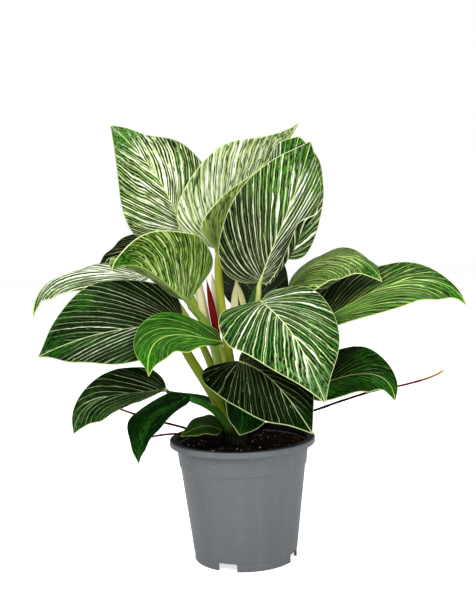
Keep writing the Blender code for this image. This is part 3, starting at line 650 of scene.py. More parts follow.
class Net:
    """A tree's nodes, with short ways to add to them."""

    def __init__(self, tree: bpy.types.NodeTree) -> None:
        """Hold the node tree to add to."""
        self.tree = tree

    def node(self, kind: str, **settings: object) -> bpy.types.Node:
        """Add a node.

        Args:
            kind: the node's type.
            settings: its properties.

        Returns:
            The node.
        """
        made = self.tree.nodes.new(kind)
        for key, value in settings.items():
            setattr(made, key, value)
        return made

    def put(self, socket: bpy.types.NodeSocket, value: object) -> None:
        """Link a socket, or set its value.

        Args:
            socket: the input.
            value: an output to link, a number, or three numbers for a screen colour.
        """
        if isinstance(value, tuple):
            value = paint(*value)
        if isinstance(value, Wire):
            self.tree.links.new(value.socket, socket)
        else:
            socket.default_value = value

    def read(self, made: bpy.types.Node, output: Union[int, str], *values: object) -> Wire:
        """Fill a node's first inputs and read one output.

        Args:
            made: the node.
            output: the output's number or name.
            values: the inputs in order.

        Returns:
            The output.
        """
        for socket, value in zip(made.inputs, values):
            self.put(socket, value)
        return Wire(self, made.outputs[output])

    def math(self, operation: str, *values: Number) -> Wire:
        """Work out one number by a named operation."""
        return self.read(self.node("ShaderNodeMath", operation=operation), 0, *values)

    def vector(self, x: Number, y: Number, z: Number) -> Wire:
        """Put three numbers together."""
        return self.read(self.node("ShaderNodeCombineXYZ"), 0, x, y, z)

    def split(self, place: Wire) -> list[Wire]:
        """Take a place apart.

        Args:
            place: the place.

        Returns:
            Its three numbers.
        """
        made = self.node("ShaderNodeSeparateXYZ")
        self.put(made.inputs[0], place)
        return [Wire(self, output) for output in made.outputs]

    def unwrapped(self) -> list[Wire]:
        """Read the place on the unwrapped mesh, both ways from 0 to 1."""
        return self.split(Wire(self, self.node("ShaderNodeUVMap").outputs[0]))[:2]

    def spot(self) -> Wire:
        """Read the place in the object, in metres."""
        return Wire(self, self.node("ShaderNodeTexCoord").outputs["Object"])

    def ring(self, turn: Wire, size: float, along: Wire) -> Wire:
        """Lay a turn out on a circle, so that its ends meet."""
        return self.vector(self.math("COSINE", turn) * size, self.math("SINE", turn) * size, along)

    def noise(self, place: Wire, scale: float = 1.0, detail: float = 2.0, roughness: float = 0.5) -> Wire:
        """Read soft noise.

        Args:
            place: where it is read.
            scale: how fine it is.
            detail: how many finer layers it has.
            roughness: how strong the finer layers are.

        Returns:
            The noise from 0 to 1.
        """
        made = self.node("ShaderNodeTexNoise")
        for name, value in (("Vector", place), ("Scale", scale), ("Detail", detail), ("Roughness", roughness)):
            self.put(made.inputs[name], value)
        return Wire(self, made.outputs["Fac"])

    def step(self, value: Number, low: Number, high: Number) -> Wire:
        """Ease from 0 at one number to 1 at another."""
        return self.read(self.node("ShaderNodeMapRange", interpolation_type="SMOOTHSTEP"), 0, value, low, high)

    def mix(self, share: Number, first: object, second: object) -> Wire:
        """Mix two colours.

        Args:
            share: the second colour's share.
            first: the first colour.
            second: the second colour.

        Returns:
            The mixed colour.
        """
        made = self.node("ShaderNodeMix", data_type="RGBA")
        for slot, value in ((0, share), (6, first), (7, second)):
            self.put(made.inputs[slot], value)
        return Wire(self, made.outputs[2])

    def attribute(self, name: str, output: str = "Fac") -> Wire:
        """Read one of the mesh's own values."""
        return Wire(self, self.node("ShaderNodeAttribute", attribute_name=name).outputs[output])

    def group(self, tree: bpy.types.NodeTree, **values: object) -> list[Wire]:
        """Place a shared group.

        Args:
            tree: the group.
            values: its inputs by name.

        Returns:
            Its outputs.
        """
        made = self.node("ShaderNodeGroup", node_tree=tree)
        for key, value in values.items():
            self.put(made.inputs[key], value)
        return [Wire(self, output) for output in made.outputs]


class Skin(Net):
    """The nodes of one material."""

    def __init__(self, name: str) -> None:
        """Start the material.

        Args:
            name: its name.
        """
        self.material = bpy.data.materials.new(name)
        self.material.use_nodes = True
        super().__init__(self.material.node_tree)
        self.shader = self.tree.nodes["Principled BSDF"].inputs

    def finish(self, colour: Wire, roughness: Number, specular: Number, height: Optional[Wire] = None,
               strength: float = 0.3, depth: float = 0.0002) -> bpy.types.Material:
        """Join the shader's inputs.

        Args:
            colour: the base colour.
            roughness: how matt it is.
            specular: how strongly it shines.
            height: the low relief, if any.
            strength: how strongly the relief shows.
            depth: the relief's depth in metres.

        Returns:
            The material.
        """
        for name, value in (("Base Color", colour), ("Roughness", roughness), ("Specular IOR Level", specular)):
            self.put(self.shader[name], value)
        if height:
            bump = self.node("ShaderNodeBump")
            bump.inputs["Strength"].default_value = strength
            bump.inputs["Distance"].default_value = depth
            self.put(bump.inputs["Height"], height)
            self.put(self.shader["Normal"], Wire(self, bump.outputs[0]))
        return self.material


def open_group(name: str, inputs: str, outputs: str) -> tuple[Net, list[Wire], bpy.types.Node]:
    """Open a new group of plain numbers.

    Args:
        name: the group's name.
        inputs: its inputs' names with spaces between.
        outputs: its outputs' names with spaces between.

    Returns:
        The group's nodes, what it is given and the node that takes its outputs.
    """
    tree = bpy.data.node_groups.new(name, "ShaderNodeTree")
    for labels, way in ((inputs.split(), "INPUT"), (outputs.split(), "OUTPUT")):
        for label in labels:
            tree.interface.new_socket(label, in_out=way, socket_type="NodeSocketFloat")
    net = Net(tree)
    start, end = net.node("NodeGroupInput"), net.node("NodeGroupOutput")
    return net, [Wire(net, start.outputs[label]) for label in inputs.split()], end


@cache
def arched_lines() -> bpy.types.NodeTree:
    """Build the leaf's pale lines, which follow its veins.

    Flow is the place from base to tip, Reach the place from midrib to margin,
    Count the lines of one half, Width how broad they are, Broken how much they
    are interrupted and Even how alike they are.

    Returns:
        The group, with the outputs Line and Core, the broad lines' middle.
    """
    net, given, end = open_group("arched_lines", "Flow Reach Seed Count Width Broken Even", "Line Core")
    flow, reach, seed, count, breadth, broken, even = given
    place = flow * count
    cell = net.math("FLOOR", place)
    off = net.math("ABSOLUTE", place - cell - 0.5)
    chance = net.read(net.node("ShaderNodeTexWhiteNoise"), "Value", net.vector(cell, seed, 0.0))
    swell = net.noise(net.vector(cell * 5.3, reach * 5.0, seed)) - (broken * 0.4 + 0.16)
    varied = (net.math("POWER", chance, 2.5) * 2.6 + 0.45) * net.math("MAXIMUM", swell * 5.0, 0.0)
    alike = (1.6 - varied) * even + varied
    width = net.math("MINIMUM", breadth * alike * (1.5 - reach * 0.85), 0.28)
    fray = net.noise(net.vector(place * 4.0, reach * 26.0, seed), detail=1.0) - 0.5
    outside = fray * (broken * 0.22 + 0.03) + off - width
    soft, there = count * 0.003, net.step(width, 0.0, 0.03)
    net.put(end.inputs["Line"], net.step(outside, soft, soft * -1.0) * there)
    net.put(end.inputs["Core"], net.step(outside, 0.0, soft * -1.2 - 0.02) * there)
    return net.tree


@cache
def specks() -> bpy.types.NodeTree:
    """Build sparse small specks over a place given as three numbers.

    Returns:
        The group, with the output Speck.
    """
    net, (x, y, z, size, share), end = open_group("specks", "X Y Z Size Share", "Speck")
    cells = net.node("ShaderNodeTexVoronoi")
    chance = net.read(net.node("ShaderNodeSeparateColor"), 0, net.read(cells, "Color", net.vector(x, y, z)))
    small = net.step(Wire(net, cells.outputs["Distance"]), size, size * 0.6)
    net.put(end.inputs["Speck"], net.math("LESS_THAN", chance, share) * small)
    return net.tree


def tie(thing: bpy.types.Object, slot: str, node: Optional[str], *materials: bpy.types.Material) -> None:
    """Give a piece its materials and tie it to the plant.

    Args:
        thing: the piece.
        slot: the record's material slot; not used.
        node: the solid that it stands for, if any.
        materials: its materials in order.
    """
    thing.data.materials.clear()
    for material in materials:
        thing.data.materials.append(material)
    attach(thing, "root")
    if node:
        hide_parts(node)


class Tone(Enum):
    """How much of a leaf is pale."""

    CREAMY = "creamy"
    BRIGHT = "bright"
    STRIPED = "striped"
    DARK = "dark"
    PLAIN = "plain"


@dataclass(frozen=True)
class LeafFinish:
    """The colours and lines of one side of a leaf, its painted shade and its partly painted sheen."""

    deep: Colour
    green: Colour
    line: Colour
    rib: Colour
    margin: Colour
    # A brighter green at the tip and in patches, on some leaves a grey-green painted sheen.
    bright: Colour
    fringe: Colour
    # How much of the blade takes that colour: brighter green, and painted sheen where it is grey-green.
    bright_and_sheen: float = 0.3
    # How far the left and the right half are darkened by painted shade.
    painted_shade_left: float = 0.0
    painted_shade_right: float = 0.0
    right_half: Optional[tuple[Colour, Colour, Colour]] = None
    wave: float = 0.0
    cracks: float = 0.0
    crack: Colour = (6.59, 28.6, 3.29)
    lines: float = 16.0
    bold: float = 0.12
    fine: float = 0.12
    hairs: float = 0.5
    dashes: float = 0.06
    broken: float = 0.45
    even: float = 0.3
    patch: float = 0.3
    rib_width: float = 0.8
    roughness: float = 0.42
    specular: float = 0.04
    seed: float = 0.0
    tip: tuple[float, float] = (0.78, 0.92)
    tip_fade: float = 0.88
    # Where the painted shade on each half eases off, from base towards tip.
    outer: tuple[float, float] = (0.42, 0.68)
    fine_per_bold: float = 2.7

    def material(self, name: str) -> bpy.types.Material:
        """Build the finish.

        Args:
            name: the material's name.

        Returns:
            The material.
        """
        net = Skin(name)
        across, length = net.unwrapped()
        across = across * 2.0 - 1.0
        reach, vein = net.math("ABSOLUTE", across), net.attribute("vein")
        right = net.math("GREATER_THAN", across, 0.0)
        seed = right * 17.3 + self.seed
        sway = net.noise(net.vector(vein * 6.0, reach * 3.0, seed), detail=1.0)
        ripple = net.noise(net.vector(vein * 14.0, reach * 9.0, seed))
        swing = net.math("SINE", reach * 8.0 + sway * 6.0) * reach * (1.4 - vein)
        flow = (sway - 0.5) * 0.028 + vein + (ripple - 0.5) * 0.008 + swing * self.wave

        def along(fineness: float, stretch: float, shift: float, detail: float = 1.0) -> Wire:
            """Noise drawn out along the veins."""
            return net.noise(net.vector(flow * fineness, reach * stretch, seed + shift), detail=detail)

        patch = net.step(along(7.0, 1.3, 0.0), 0.75 - 0.4 * self.patch, 0.95 - 0.5 * self.patch)
        place = {"Flow": flow, "Reach": reach}
        bold, bold_core = net.group(arched_lines(), **place, Seed=seed, Count=self.lines, Broken=self.broken,
                                    Width=patch * (self.bold * 0.9) + self.bold, Even=self.even)
        fine, fine_core = net.group(arched_lines(), **place, Seed=seed + 5.7, Broken=self.broken * 0.5,
                                    Count=self.lines * self.fine_per_bold, Even=self.even * 0.5,
                                    Width=patch * self.fine + self.fine)
        streak = net.step(along(95.0, 7.0, 2.0, 2.0), 0.38, 0.64)
        tip = net.step(length, *self.tip)
        fading = 1.0 - tip * self.tip_fade
        # The bright zone at the tip and in patches: brighter green, partly a painted grey-green sheen.
        bright_and_sheen_zone = net.step(along(3.0, 1.6, 9.0), 0.75 - 0.5 * self.bright_and_sheen, 0.95 - 0.4 * self.bright_and_sheen)
        bright_and_sheen_zone = net.math("MAXIMUM", bright_and_sheen_zone, tip * 0.9)
        # Painted shade: each half darkened where other leaves shade it, easing off towards the tip; the pale lines
        # are dimmed with it.
        outer = net.step((sway - 0.5) * 0.4 + length, *self.outer)
        dim = right * (self.painted_shade_right - self.painted_shade_left) + self.painted_shade_left
        lit = 1.0 - dim * (outer * -0.7 + 1.0)
        deep, green, line = self.deep, self.green, self.line
        if self.right_half:
            deep, green, line = (net.mix(right, *both) for both in zip((deep, green, line), self.right_half))
        colour = net.mix(streak * lit * (bright_and_sheen_zone * 0.3 + 0.7), deep, net.mix(bright_and_sheen_zone, green, self.bright))
        dashes = net.step(along(88.0, 6.0, 21.0), 0.74 - self.dashes, 0.8 - self.dashes)
        hair = net.math("MAXIMUM", fine * self.hairs, dashes) * (fading * (lit * 0.5 + 0.5))
        colour = net.mix(hair, colour, net.mix(fine_core, self.fringe, line))
        pale = bold * (fading * (lit * 0.3 + 0.7))
        colour = net.mix(pale, colour, net.mix(bold_core, self.fringe, line))
        if self.cracks:
            dark = net.step(along(100.0, 6.0, 33.0), 0.64 - self.cracks, 0.7 - self.cracks)
            colour = net.mix(dark * 0.85, colour, self.crack)
        rib_edge = (1.0 - vein) * self.rib_width + 0.35
        colour = net.mix(net.step(net.attribute("from_rib"), rib_edge, rib_edge * 0.6), colour, self.rib)
        colour = net.mix(net.step(net.attribute("from_margin"), 0.6, 0.2), colour, self.margin)
        return net.finish(colour, streak * 0.12 + self.roughness, self.specular, streak * 0.5 + pale)


# Screen colours that several finishes share.
INK = (1, 9, 1)
NIGHT = (14, 58, 6)
MOSS = (30, 92, 14)
FERN = (48, 122, 18)
GRASS = (62, 142, 20)
IVORY = (252, 253, 240)
CREAM = (236, 242, 200)
LIME = (184, 212, 104)
STRAW = (214, 228, 160)
ASH = (178, 196, 138)
OLIVE = (142, 176, 50)
BACK_LINE = (220, 244, 116)

# The finishes of the upper side and of the underside.
TONES: dict[Tone, tuple[LeafFinish, LeafFinish]] = {
    Tone.CREAMY: (
        LeafFinish(INK, (56, 112, 30), IVORY, LIME, STRAW, GRASS, (204, 224, 140),
                   lines=18, bold=0.055, fine=0.06, hairs=0.8, dashes=0.075, broken=0.35, patch=0.5),
        LeafFinish((60, 100, 6), (140, 182, 40), BACK_LINE, LIME, STRAW, OLIVE, LIME,
                   lines=18, bold=0.06, fine=0.07, hairs=0.9, dashes=0.09, patch=0.4, cracks=0.11,
                   crack=(26, 60, 4), rib_width=2.0, roughness=0.6, specular=0.01)),
    Tone.BRIGHT: (
        LeafFinish(INK, (30, 98, 18), IVORY, STRAW, STRAW, GRASS, (196, 220, 130), bright_and_sheen=0.4,
                   lines=20, bold=0.045, fine=0.05, hairs=0.55, dashes=0.04, broken=0.3, patch=0.45),
        LeafFinish((24, 52, 3), (122, 160, 38), BACK_LINE, (150, 180, 84), STRAW, OLIVE, LIME,
                   lines=21, bold=0.05, fine=0.065, hairs=0.9, dashes=0.1, broken=0.35, patch=0.4, wave=0.006,
                   cracks=0.05, rib_width=2.6, roughness=0.5)),
    Tone.STRIPED: (
        LeafFinish(INK, MOSS, CREAM, LIME, STRAW, FERN, (176, 206, 104), bright_and_sheen=0.4,
                   lines=20, bold=0.04, fine=0.045, dashes=0.03, broken=0.25),
        LeafFinish((30, 66, 12), (110, 152, 34), LIME, LIME, LIME, OLIVE, LIME,
                   lines=19, bold=0.04, fine=0.05, rib_width=2.0, roughness=0.5)),
    Tone.DARK: (
        LeafFinish(INK, (2, 18, 1), CREAM, ASH, ASH, (10, 46, 5), (140, 164, 100), bright_and_sheen=0.2,
                   lines=20, bold=0.024, fine=0.02, hairs=0.14, dashes=0.0, broken=0.15, even=0.65, patch=0.2,
                   rib_width=0.5, specular=0.015),
        LeafFinish((18, 50, 8), (62, 100, 26), LIME, LIME, LIME, OLIVE, OLIVE,
                   lines=14, bold=0.035, fine=0.03, dashes=0.0, rib_width=2.0, roughness=0.5)),
    Tone.PLAIN: (
        LeafFinish(NIGHT, FERN, LIME, OLIVE, LIME, GRASS, (136, 182, 80), bright_and_sheen=0.6,
                   lines=14, bold=0.03, fine=0.03, hairs=0.3, dashes=0.0, broken=0.3, patch=0.1),
        LeafFinish((38, 76, 18), (78, 120, 34), LIME, OLIVE, LIME, OLIVE, OLIVE,
                   lines=14, bold=0.03, fine=0.03, hairs=0.3, dashes=0.0, rib_width=1.6, roughness=0.5)),
}

# Each leaf's tone, and what is different about its upper side; some darken one half as painted shade.
LEAF_LOOKS: dict[str, tuple[Tone, dict[str, object]]] = {
    "leaf_tall_left": (Tone.CREAMY, dict(wave=0.011, margin=(150, 182, 92), dashes=0.1, cracks=0.03)),
    "leaf_tall_folded": (Tone.CREAMY, dict(
        green=(202, 224, 150), deep=(52, 92, 26), bright=(212, 228, 156), lines=27, bold=0.14, fine=0.1,
        dashes=0.15, hairs=0.95, broken=0.3, even=0.4, wave=0.006, cracks=0.09, crack=(24, 56, 12), patch=0.6,
        right_half=((72, 120, 20), (160, 212, 60), (224, 246, 130)))),
    "leaf_tall_front": (Tone.BRIGHT, dict(
        green=(18, 74, 10), lines=22, bold=0.075, fine=0.04, hairs=0.45, painted_shade_left=0.9, painted_shade_right=0.95, bright_and_sheen=0.8,
        broken=0.3, wave=0.005, dashes=0.055, cracks=0.02)),
    "leaf_tall_back": (Tone.BRIGHT, dict(bold=0.06, dashes=0.06)),
    "leaf_arched_left": (Tone.BRIGHT, dict(
        green=(104, 150, 34), deep=(22, 52, 3), line=(240, 250, 200), fringe=LIME, rib=(158, 188, 92),
        rib_width=2.2, lines=21, bold=0.05, fine=0.055, hairs=0.85, dashes=0.09, cracks=0.07, wave=0.011)),
    "leaf_upper_left_back": (Tone.DARK, {}),
    "leaf_long_left": (Tone.BRIGHT, dict(lines=14, bold=0.1, dashes=0.08, fine=0.04, cracks=0.03)),
    "leaf_broad_left": (Tone.DARK, dict(
        green=(8, 44, 5), bright=(40, 98, 22), line=IVORY, bright_and_sheen=0.7, painted_shade_left=0.5, painted_shade_right=0.9, even=0.4,
        broken=0.2, hairs=0.35, bold=0.033, lines=24)),
    # Its bright zone is a grey-green painted sheen.
    "leaf_heart_front": (Tone.BRIGHT, dict(
        green=(20, 100, 12), bright=(92, 146, 72), lines=17, bold=0.045, broken=0.2, bright_and_sheen=0.45, even=0.4,
        hairs=0.5, fine=0.035, patch=0.3, cracks=0.02)),
    "leaf_small_left": (Tone.PLAIN, dict(
        green=(60, 116, 28), line=(170, 206, 104), rib=LIME, lines=12, bold=0.024)),
    "leaf_dark_front": (Tone.DARK, dict(line=IVORY, bold=0.016, lines=22, hairs=0.25, even=0.5)),
    "leaf_right_upper": (Tone.STRIPED, dict(
        green=(70, 120, 24), line=(228, 240, 176), lines=24, bold=0.042, dashes=0.06, hairs=0.75, cracks=0.03)),
    "leaf_right_long": (Tone.STRIPED, dict(
        green=(40, 124, 22), bright=GRASS, line=(206, 226, 150), painted_shade_left=0.95, dashes=0.01, bold=0.036,
        fine=0.03)),
    "leaf_right_back": (Tone.STRIPED, {}),
    "leaf_right_low": (Tone.DARK, dict(green=(34, 100, 14), bright=FERN, bold=0.012, bright_and_sheen=0.7, painted_shade_left=0.95)),
    # Its bright tip is a greyish painted sheen, and one half takes painted shade.
    "leaf_low_left": (Tone.DARK, dict(
        green=(24, 74, 14), bright=(52, 92, 40), rib=(112, 136, 84), rib_width=1.2, lines=13, bold=0.026, bright_and_sheen=0.6,
        painted_shade_right=0.6)),
    "leaf_low_left_small": (Tone.DARK, dict(
        green=(8, 48, 6), bright=(28, 86, 18), rib=(40, 70, 24), margin=(50, 80, 34), bold=0.004, fine=0.0,
        bright_and_sheen=0.7)),
    "leaf_on_soil": (Tone.PLAIN, dict(deep=INK, green=(24, 74, 16), bright=(40, 100, 20), bold=0.01)),
    "leaf_under_front": (Tone.PLAIN, dict(
        deep=INK, green=(12, 60, 10), bright=(24, 84, 14), rib=(40, 96, 24), margin=STRAW, bold=0.0, fine=0.0)),
    # Painted nearly black: painted shade, as this leaf stands deep in the shade behind the stalks.
    "leaf_middle_back": (Tone.STRIPED, dict(
        deep=(1, 4, 1), green=(4, 24, 3), rib=(50, 70, 34), margin=(50, 70, 34), bold=0.006, hairs=0.05, bright_and_sheen=0.0,
        dashes=0.0)),
}


@dataclass
class LeafBlade:
    """One blade as a thin sheet with a grooved midrib and shallow veins."""

    leaf: Leaf
    order: int = 0
    columns: int = 26
    rows: int = 98
    edge: float = 0.7
    ribs: float = 14.0
    rib_height: float = 0.14
    groove: float = 0.45
    groove_width: float = 1.6
    keel_width: float = 1.3

    def build(self) -> bpy.types.Object:
        """Make the blade.

        Returns:
            The finished object, which stands for the solid of the same name.
        """
        blade = Blade(self.leaf)
        thing = sheet(self.leaf.name + "_blade", 2 * self.columns, self.rows)
        across, vein = grid_places(thing)
        across[np.abs(across) < 0.25 / self.columns] = 0.0
        s, t = np.clip(vein / 2 + 0.5, 0, 1), np.abs(across)
        points, from_rib, from_margin, number = np.zeros((len(s), 3)), np.zeros(len(s)), np.zeros(len(s)), s.copy()
        for side, chosen in ((0, across < 0), (1, across >= 0)):
            row, column = s[chosen], t[chosen]
            place, upward, away = blade.points(side, row, column)
            edge = blade.points(side, row, np.ones(chosen.sum()))[0]
            ends = np.minimum(1.0, 8 * row) * np.minimum(1.0, 8 * (1 - row))
            belly = 4 * column * (1 - column)
            number[chosen] = blade.veins(side, row, column)
            vein_lift = self.rib_height * np.cos(TAU * self.ribs * number[chosen]) * belly * ends
            dip = self.groove * np.exp(-(away / self.groove_width) ** 2) * ends
            points[chosen] = place + upward * (vein_lift - dip)[:, None]
            from_rib[chosen] = away
            from_margin[chosen] = np.linalg.norm(edge - place, axis=1)
        lay(thing, points)
        note(thing, "from_rib", from_rib)
        note(thing, "from_margin", from_margin)
        note(thing, "vein", number)
        self._thicken(thing, s, from_rib)
        return thing

    def _thicken(self, thing: bpy.types.Object, s: np.ndarray, from_rib: np.ndarray) -> None:
        """Give the sheet its thickness, with the midrib standing out below.

        Args:
            thing: the flat blade.
            s: each vertex's place from base to tip.
            from_rib: each vertex's distance from the midrib.
        """
        full = self.leaf.thick
        swell = np.exp(-(from_rib / self.keel_width) ** 2) * (1 - s) ** 0.8
        share = (self.edge + (full - self.edge) * swell) / full
        group = thing.vertex_groups.new(name="rib")
        for i, weight in enumerate(share):
            group.add([i], float(weight), "REPLACE")
        weld(thing, 1e-6, outward=False)
        skin = thing.modifiers.new("thickness", "SOLIDIFY")
        skin.thickness = full * MM
        skin.offset = -1.0
        skin.vertex_group = "rib"
        skin.thickness_vertex_group = 0.0
        skin.material_offset = 1
        apply_modifiers(thing)
        thing.vertex_groups.clear()
        pick(thing)
        bpy.ops.object.shade_smooth()

    def dress(self, thing: bpy.types.Object) -> None:
        """Give the blade its two sides' finishes and tie it to the plant.

        Args:
            thing: the blade.
        """
        name, seed = self.leaf.name, 3.1 * self.order
        tone, changes = LEAF_LOOKS[name]
        upper, under = TONES[tone]
        tie(thing, "leaf", name, replace(upper, seed=seed, **changes).material(name + "_upper"),
            replace(under, seed=seed).material(name + "_under"))


@dataclass(frozen=True)
class SheathFinish:
    """The smooth skin of a sheath, with one edge of another colour and, on one, a dark middle of painted shade."""

    body: Colour
    edge: Colour
    dark: Colour
    # A dark middle between the sheath's arms, painted shade in a dark brown.
    heart: Optional[Colour] = None

    def material(self, name: str) -> bpy.types.Material:
        """Build the finish.

        Args:
            name: the material's name.

        Returns:
            The material.
        """
        net = Skin(name)
        across, length = net.unwrapped()
        streaks = net.noise(net.vector(across * 14.0, length * 3.0, 0.0), detail=3.0)
        colour = net.mix(net.step(streaks, 0.35, 0.75), self.body, self.dark)
        colour = net.mix(net.step(across, 0.72, 0.95), colour, self.edge)
        # Painted shade: the dark middle between the two arms, narrowing to a point near the top.
        if self.heart:
            off = net.math("ABSOLUTE", across - 0.6) - (0.9 - length) * 0.6
            colour = net.mix(net.step(off, 0.03, -0.03), colour, self.heart)
        return net.finish(colour, streaks * 0.15 + 0.42, 0.12, streaks)


SHEATH_FINISHES = {
    "sheath_red": SheathFinish((116, 0, 6), (84, 0, 4), (136, 6, 12)),
    "sheath_cream_middle": SheathFinish((226, 214, 176), (232, 160, 120), (206, 196, 140)),
    "sheath_cream_left": SheathFinish((224, 216, 178), (196, 206, 130), (200, 196, 140)),
    # Its dark middle is painted shade.
    "sheath_cream_front": SheathFinish((226, 218, 170), (206, 208, 140), (206, 202, 140), (44, 22, 8)),
}


@dataclass
class Sheath(LeafBlade):
    """A thin smooth sheath between the stalks."""

    columns: int = 8
    rows: int = 48
    edge: float = 0.6
    rib_height: float = 0.0
    groove: float = 0.0

    def dress(self, thing: bpy.types.Object) -> None:
        """Give the sheath its finish and tie it to the plant.

        Args:
            thing: the sheath.
        """
        name = self.leaf.name
        skin = SHEATH_FINISHES[name].material(name)
        tie(thing, "red_sheath" if name == "sheath_red" else "cream_sheath", name, skin, skin)


@dataclass(frozen=True)
class StalkTint:
    """A stalk's colour at its foot and at its blade."""

    low: Colour
    high: Colour


# Most stalks are yellow-green, and these differ.
YELLOW_GREEN = StalkTint((156, 172, 52), (168, 182, 70))
STALK_TINTS = {
    "leaf_tall_left": StalkTint((186, 196, 110), (212, 218, 150)),
    "leaf_tall_folded": StalkTint((160, 168, 40), (176, 186, 60)),
    "leaf_tall_front": StalkTint((176, 188, 84), (200, 208, 120)),
    "leaf_tall_back": StalkTint((60, 110, 40), (40, 96, 36)),
    "leaf_arched_left": StalkTint((116, 164, 30), (140, 166, 64)),
    "leaf_broad_left": StalkTint((128, 150, 26), (140, 158, 30)),
    "leaf_low_left": StalkTint((40, 100, 30), (24, 84, 26)),
    "leaf_low_left_small": StalkTint((60, 124, 30), (34, 104, 28)),
}


@dataclass
class Crown:
    """The short crown in the soil with all the leaf stalks."""

    radius: float = 9.0
    foot_z: float = 82.0
    top_z: float = 113.0
    rings: int = 60
    crown_rings: int = 24
    sides: int = 24
    lead: float = 3.0
    run_in: float = 7.0

    def build(self) -> bpy.types.Object:
        """Make the crown and stalks as one object."""
        return join("stalks", [self._crown()] + [self._stalk(leaf) for leaf in LEAVES if leaf.stalk])

    def _crown(self) -> bpy.types.Object:
        """Make the crown's own body.

        Returns:
            The crown without its stalks.
        """
        rib = Rib([(*CROWN_XY, z) for z in (self.foot_z, (self.foot_z + self.top_z) / 2, self.top_z)])
        crown = tube("crown", rib, lambda f: self.radius * (1 - 0.35 * eased((f - 0.7) / 0.3)),
                     self.crown_rings, self.sides)
        note(crown, "flesh", np.tile(paint(22, 18, 10), (len(crown.data.vertices), 1)))
        return crown

    def _stalk(self, leaf: Leaf) -> bpy.types.Object:
        """Make one stalk.

        Args:
            leaf: the leaf that it carries.

        Returns:
            The stalk, running on into the blade's midrib.
        """
        blade = Blade(leaf)
        point, along, _, normal = (v[0] for v in blade.frame(0.0))
        start = np.asarray(leaf.stalk[-1], float)
        if float(unit(point - start) @ normal) > 0.4:
            end, facing = point - normal * (leaf.thick + STALK_GAP), normal
        else:
            notch = STALK_END_R / math.tan(math.radians(max(25.0, min(89.0, min(blade.sinus)))))
            end, facing = point - normal * leaf.thick / 2 - along * (STALK_GAP + notch), along
        rib = Rib([*leaf.stalk, end - unit(unit(end - start) + facing) * self.lead])
        inside = blade.frame(self.run_in)
        stations = rib.at(rib.length * np.arange(self.rings - 3) / (self.rings - 4))[0]
        path = Rib([*stations, end + facing * 0.4, inside[0][0] - inside[3][0]], dense=True)
        shoulder = rib.length / path.length
        low, high = leaf.stalk_r

        def radius(f: np.ndarray) -> np.ndarray:
            """The stalk's radius, flared at its foot and slim at its blade."""
            g = f / shoulder
            return low + (high - low) * eased(g / 0.8) - (high - STALK_END_R) * eased((g - 0.85) / 0.3)

        stalk = tube("stalk_" + leaf.name, path, radius, self.rings, self.sides)
        share = np.zeros(len(stalk.data.vertices), np.float32)
        stalk.data.attributes["length_share"].data.foreach_get("value", share)
        tint = STALK_TINTS.get(leaf.name, YELLOW_GREEN)
        share = share[:, None]
        note(stalk, "flesh", share * np.array(paint(*tint.high)) + (1 - share) * np.array(paint(*tint.low)))
        return stalk

    def dress(self, thing: bpy.types.Object) -> None:
        """Give the stalks their skin and tie them to the plant.

        Args:
            thing: the crown with its stalks.
        """
        net = Skin("stalk_skin")
        across, length = net.unwrapped()
        streaks = net.noise(net.ring(across * TAU, 3.0, length * 4.0), scale=2.0, detail=3.0)
        flesh = net.attribute("flesh", "Color")
        colour = net.mix(net.step(streaks, 0.42, 0.72), flesh, net.mix(0.45, flesh, (60, 92, 20)))
        # Darker to nearly black at the foot: partly soil stain, partly painted shade low among the stalks.
        foot = net.step(net.attribute("length_share"), 0.12, 0.0)
        colour = net.mix(foot * 0.92, colour, (16, 20, 6))
        smooth(thing, 50.0)
        tie(thing, "stalk", "crown_and_stalks", net.finish(colour, streaks * 0.14 + 0.34, 0.15, streaks, 0.25))


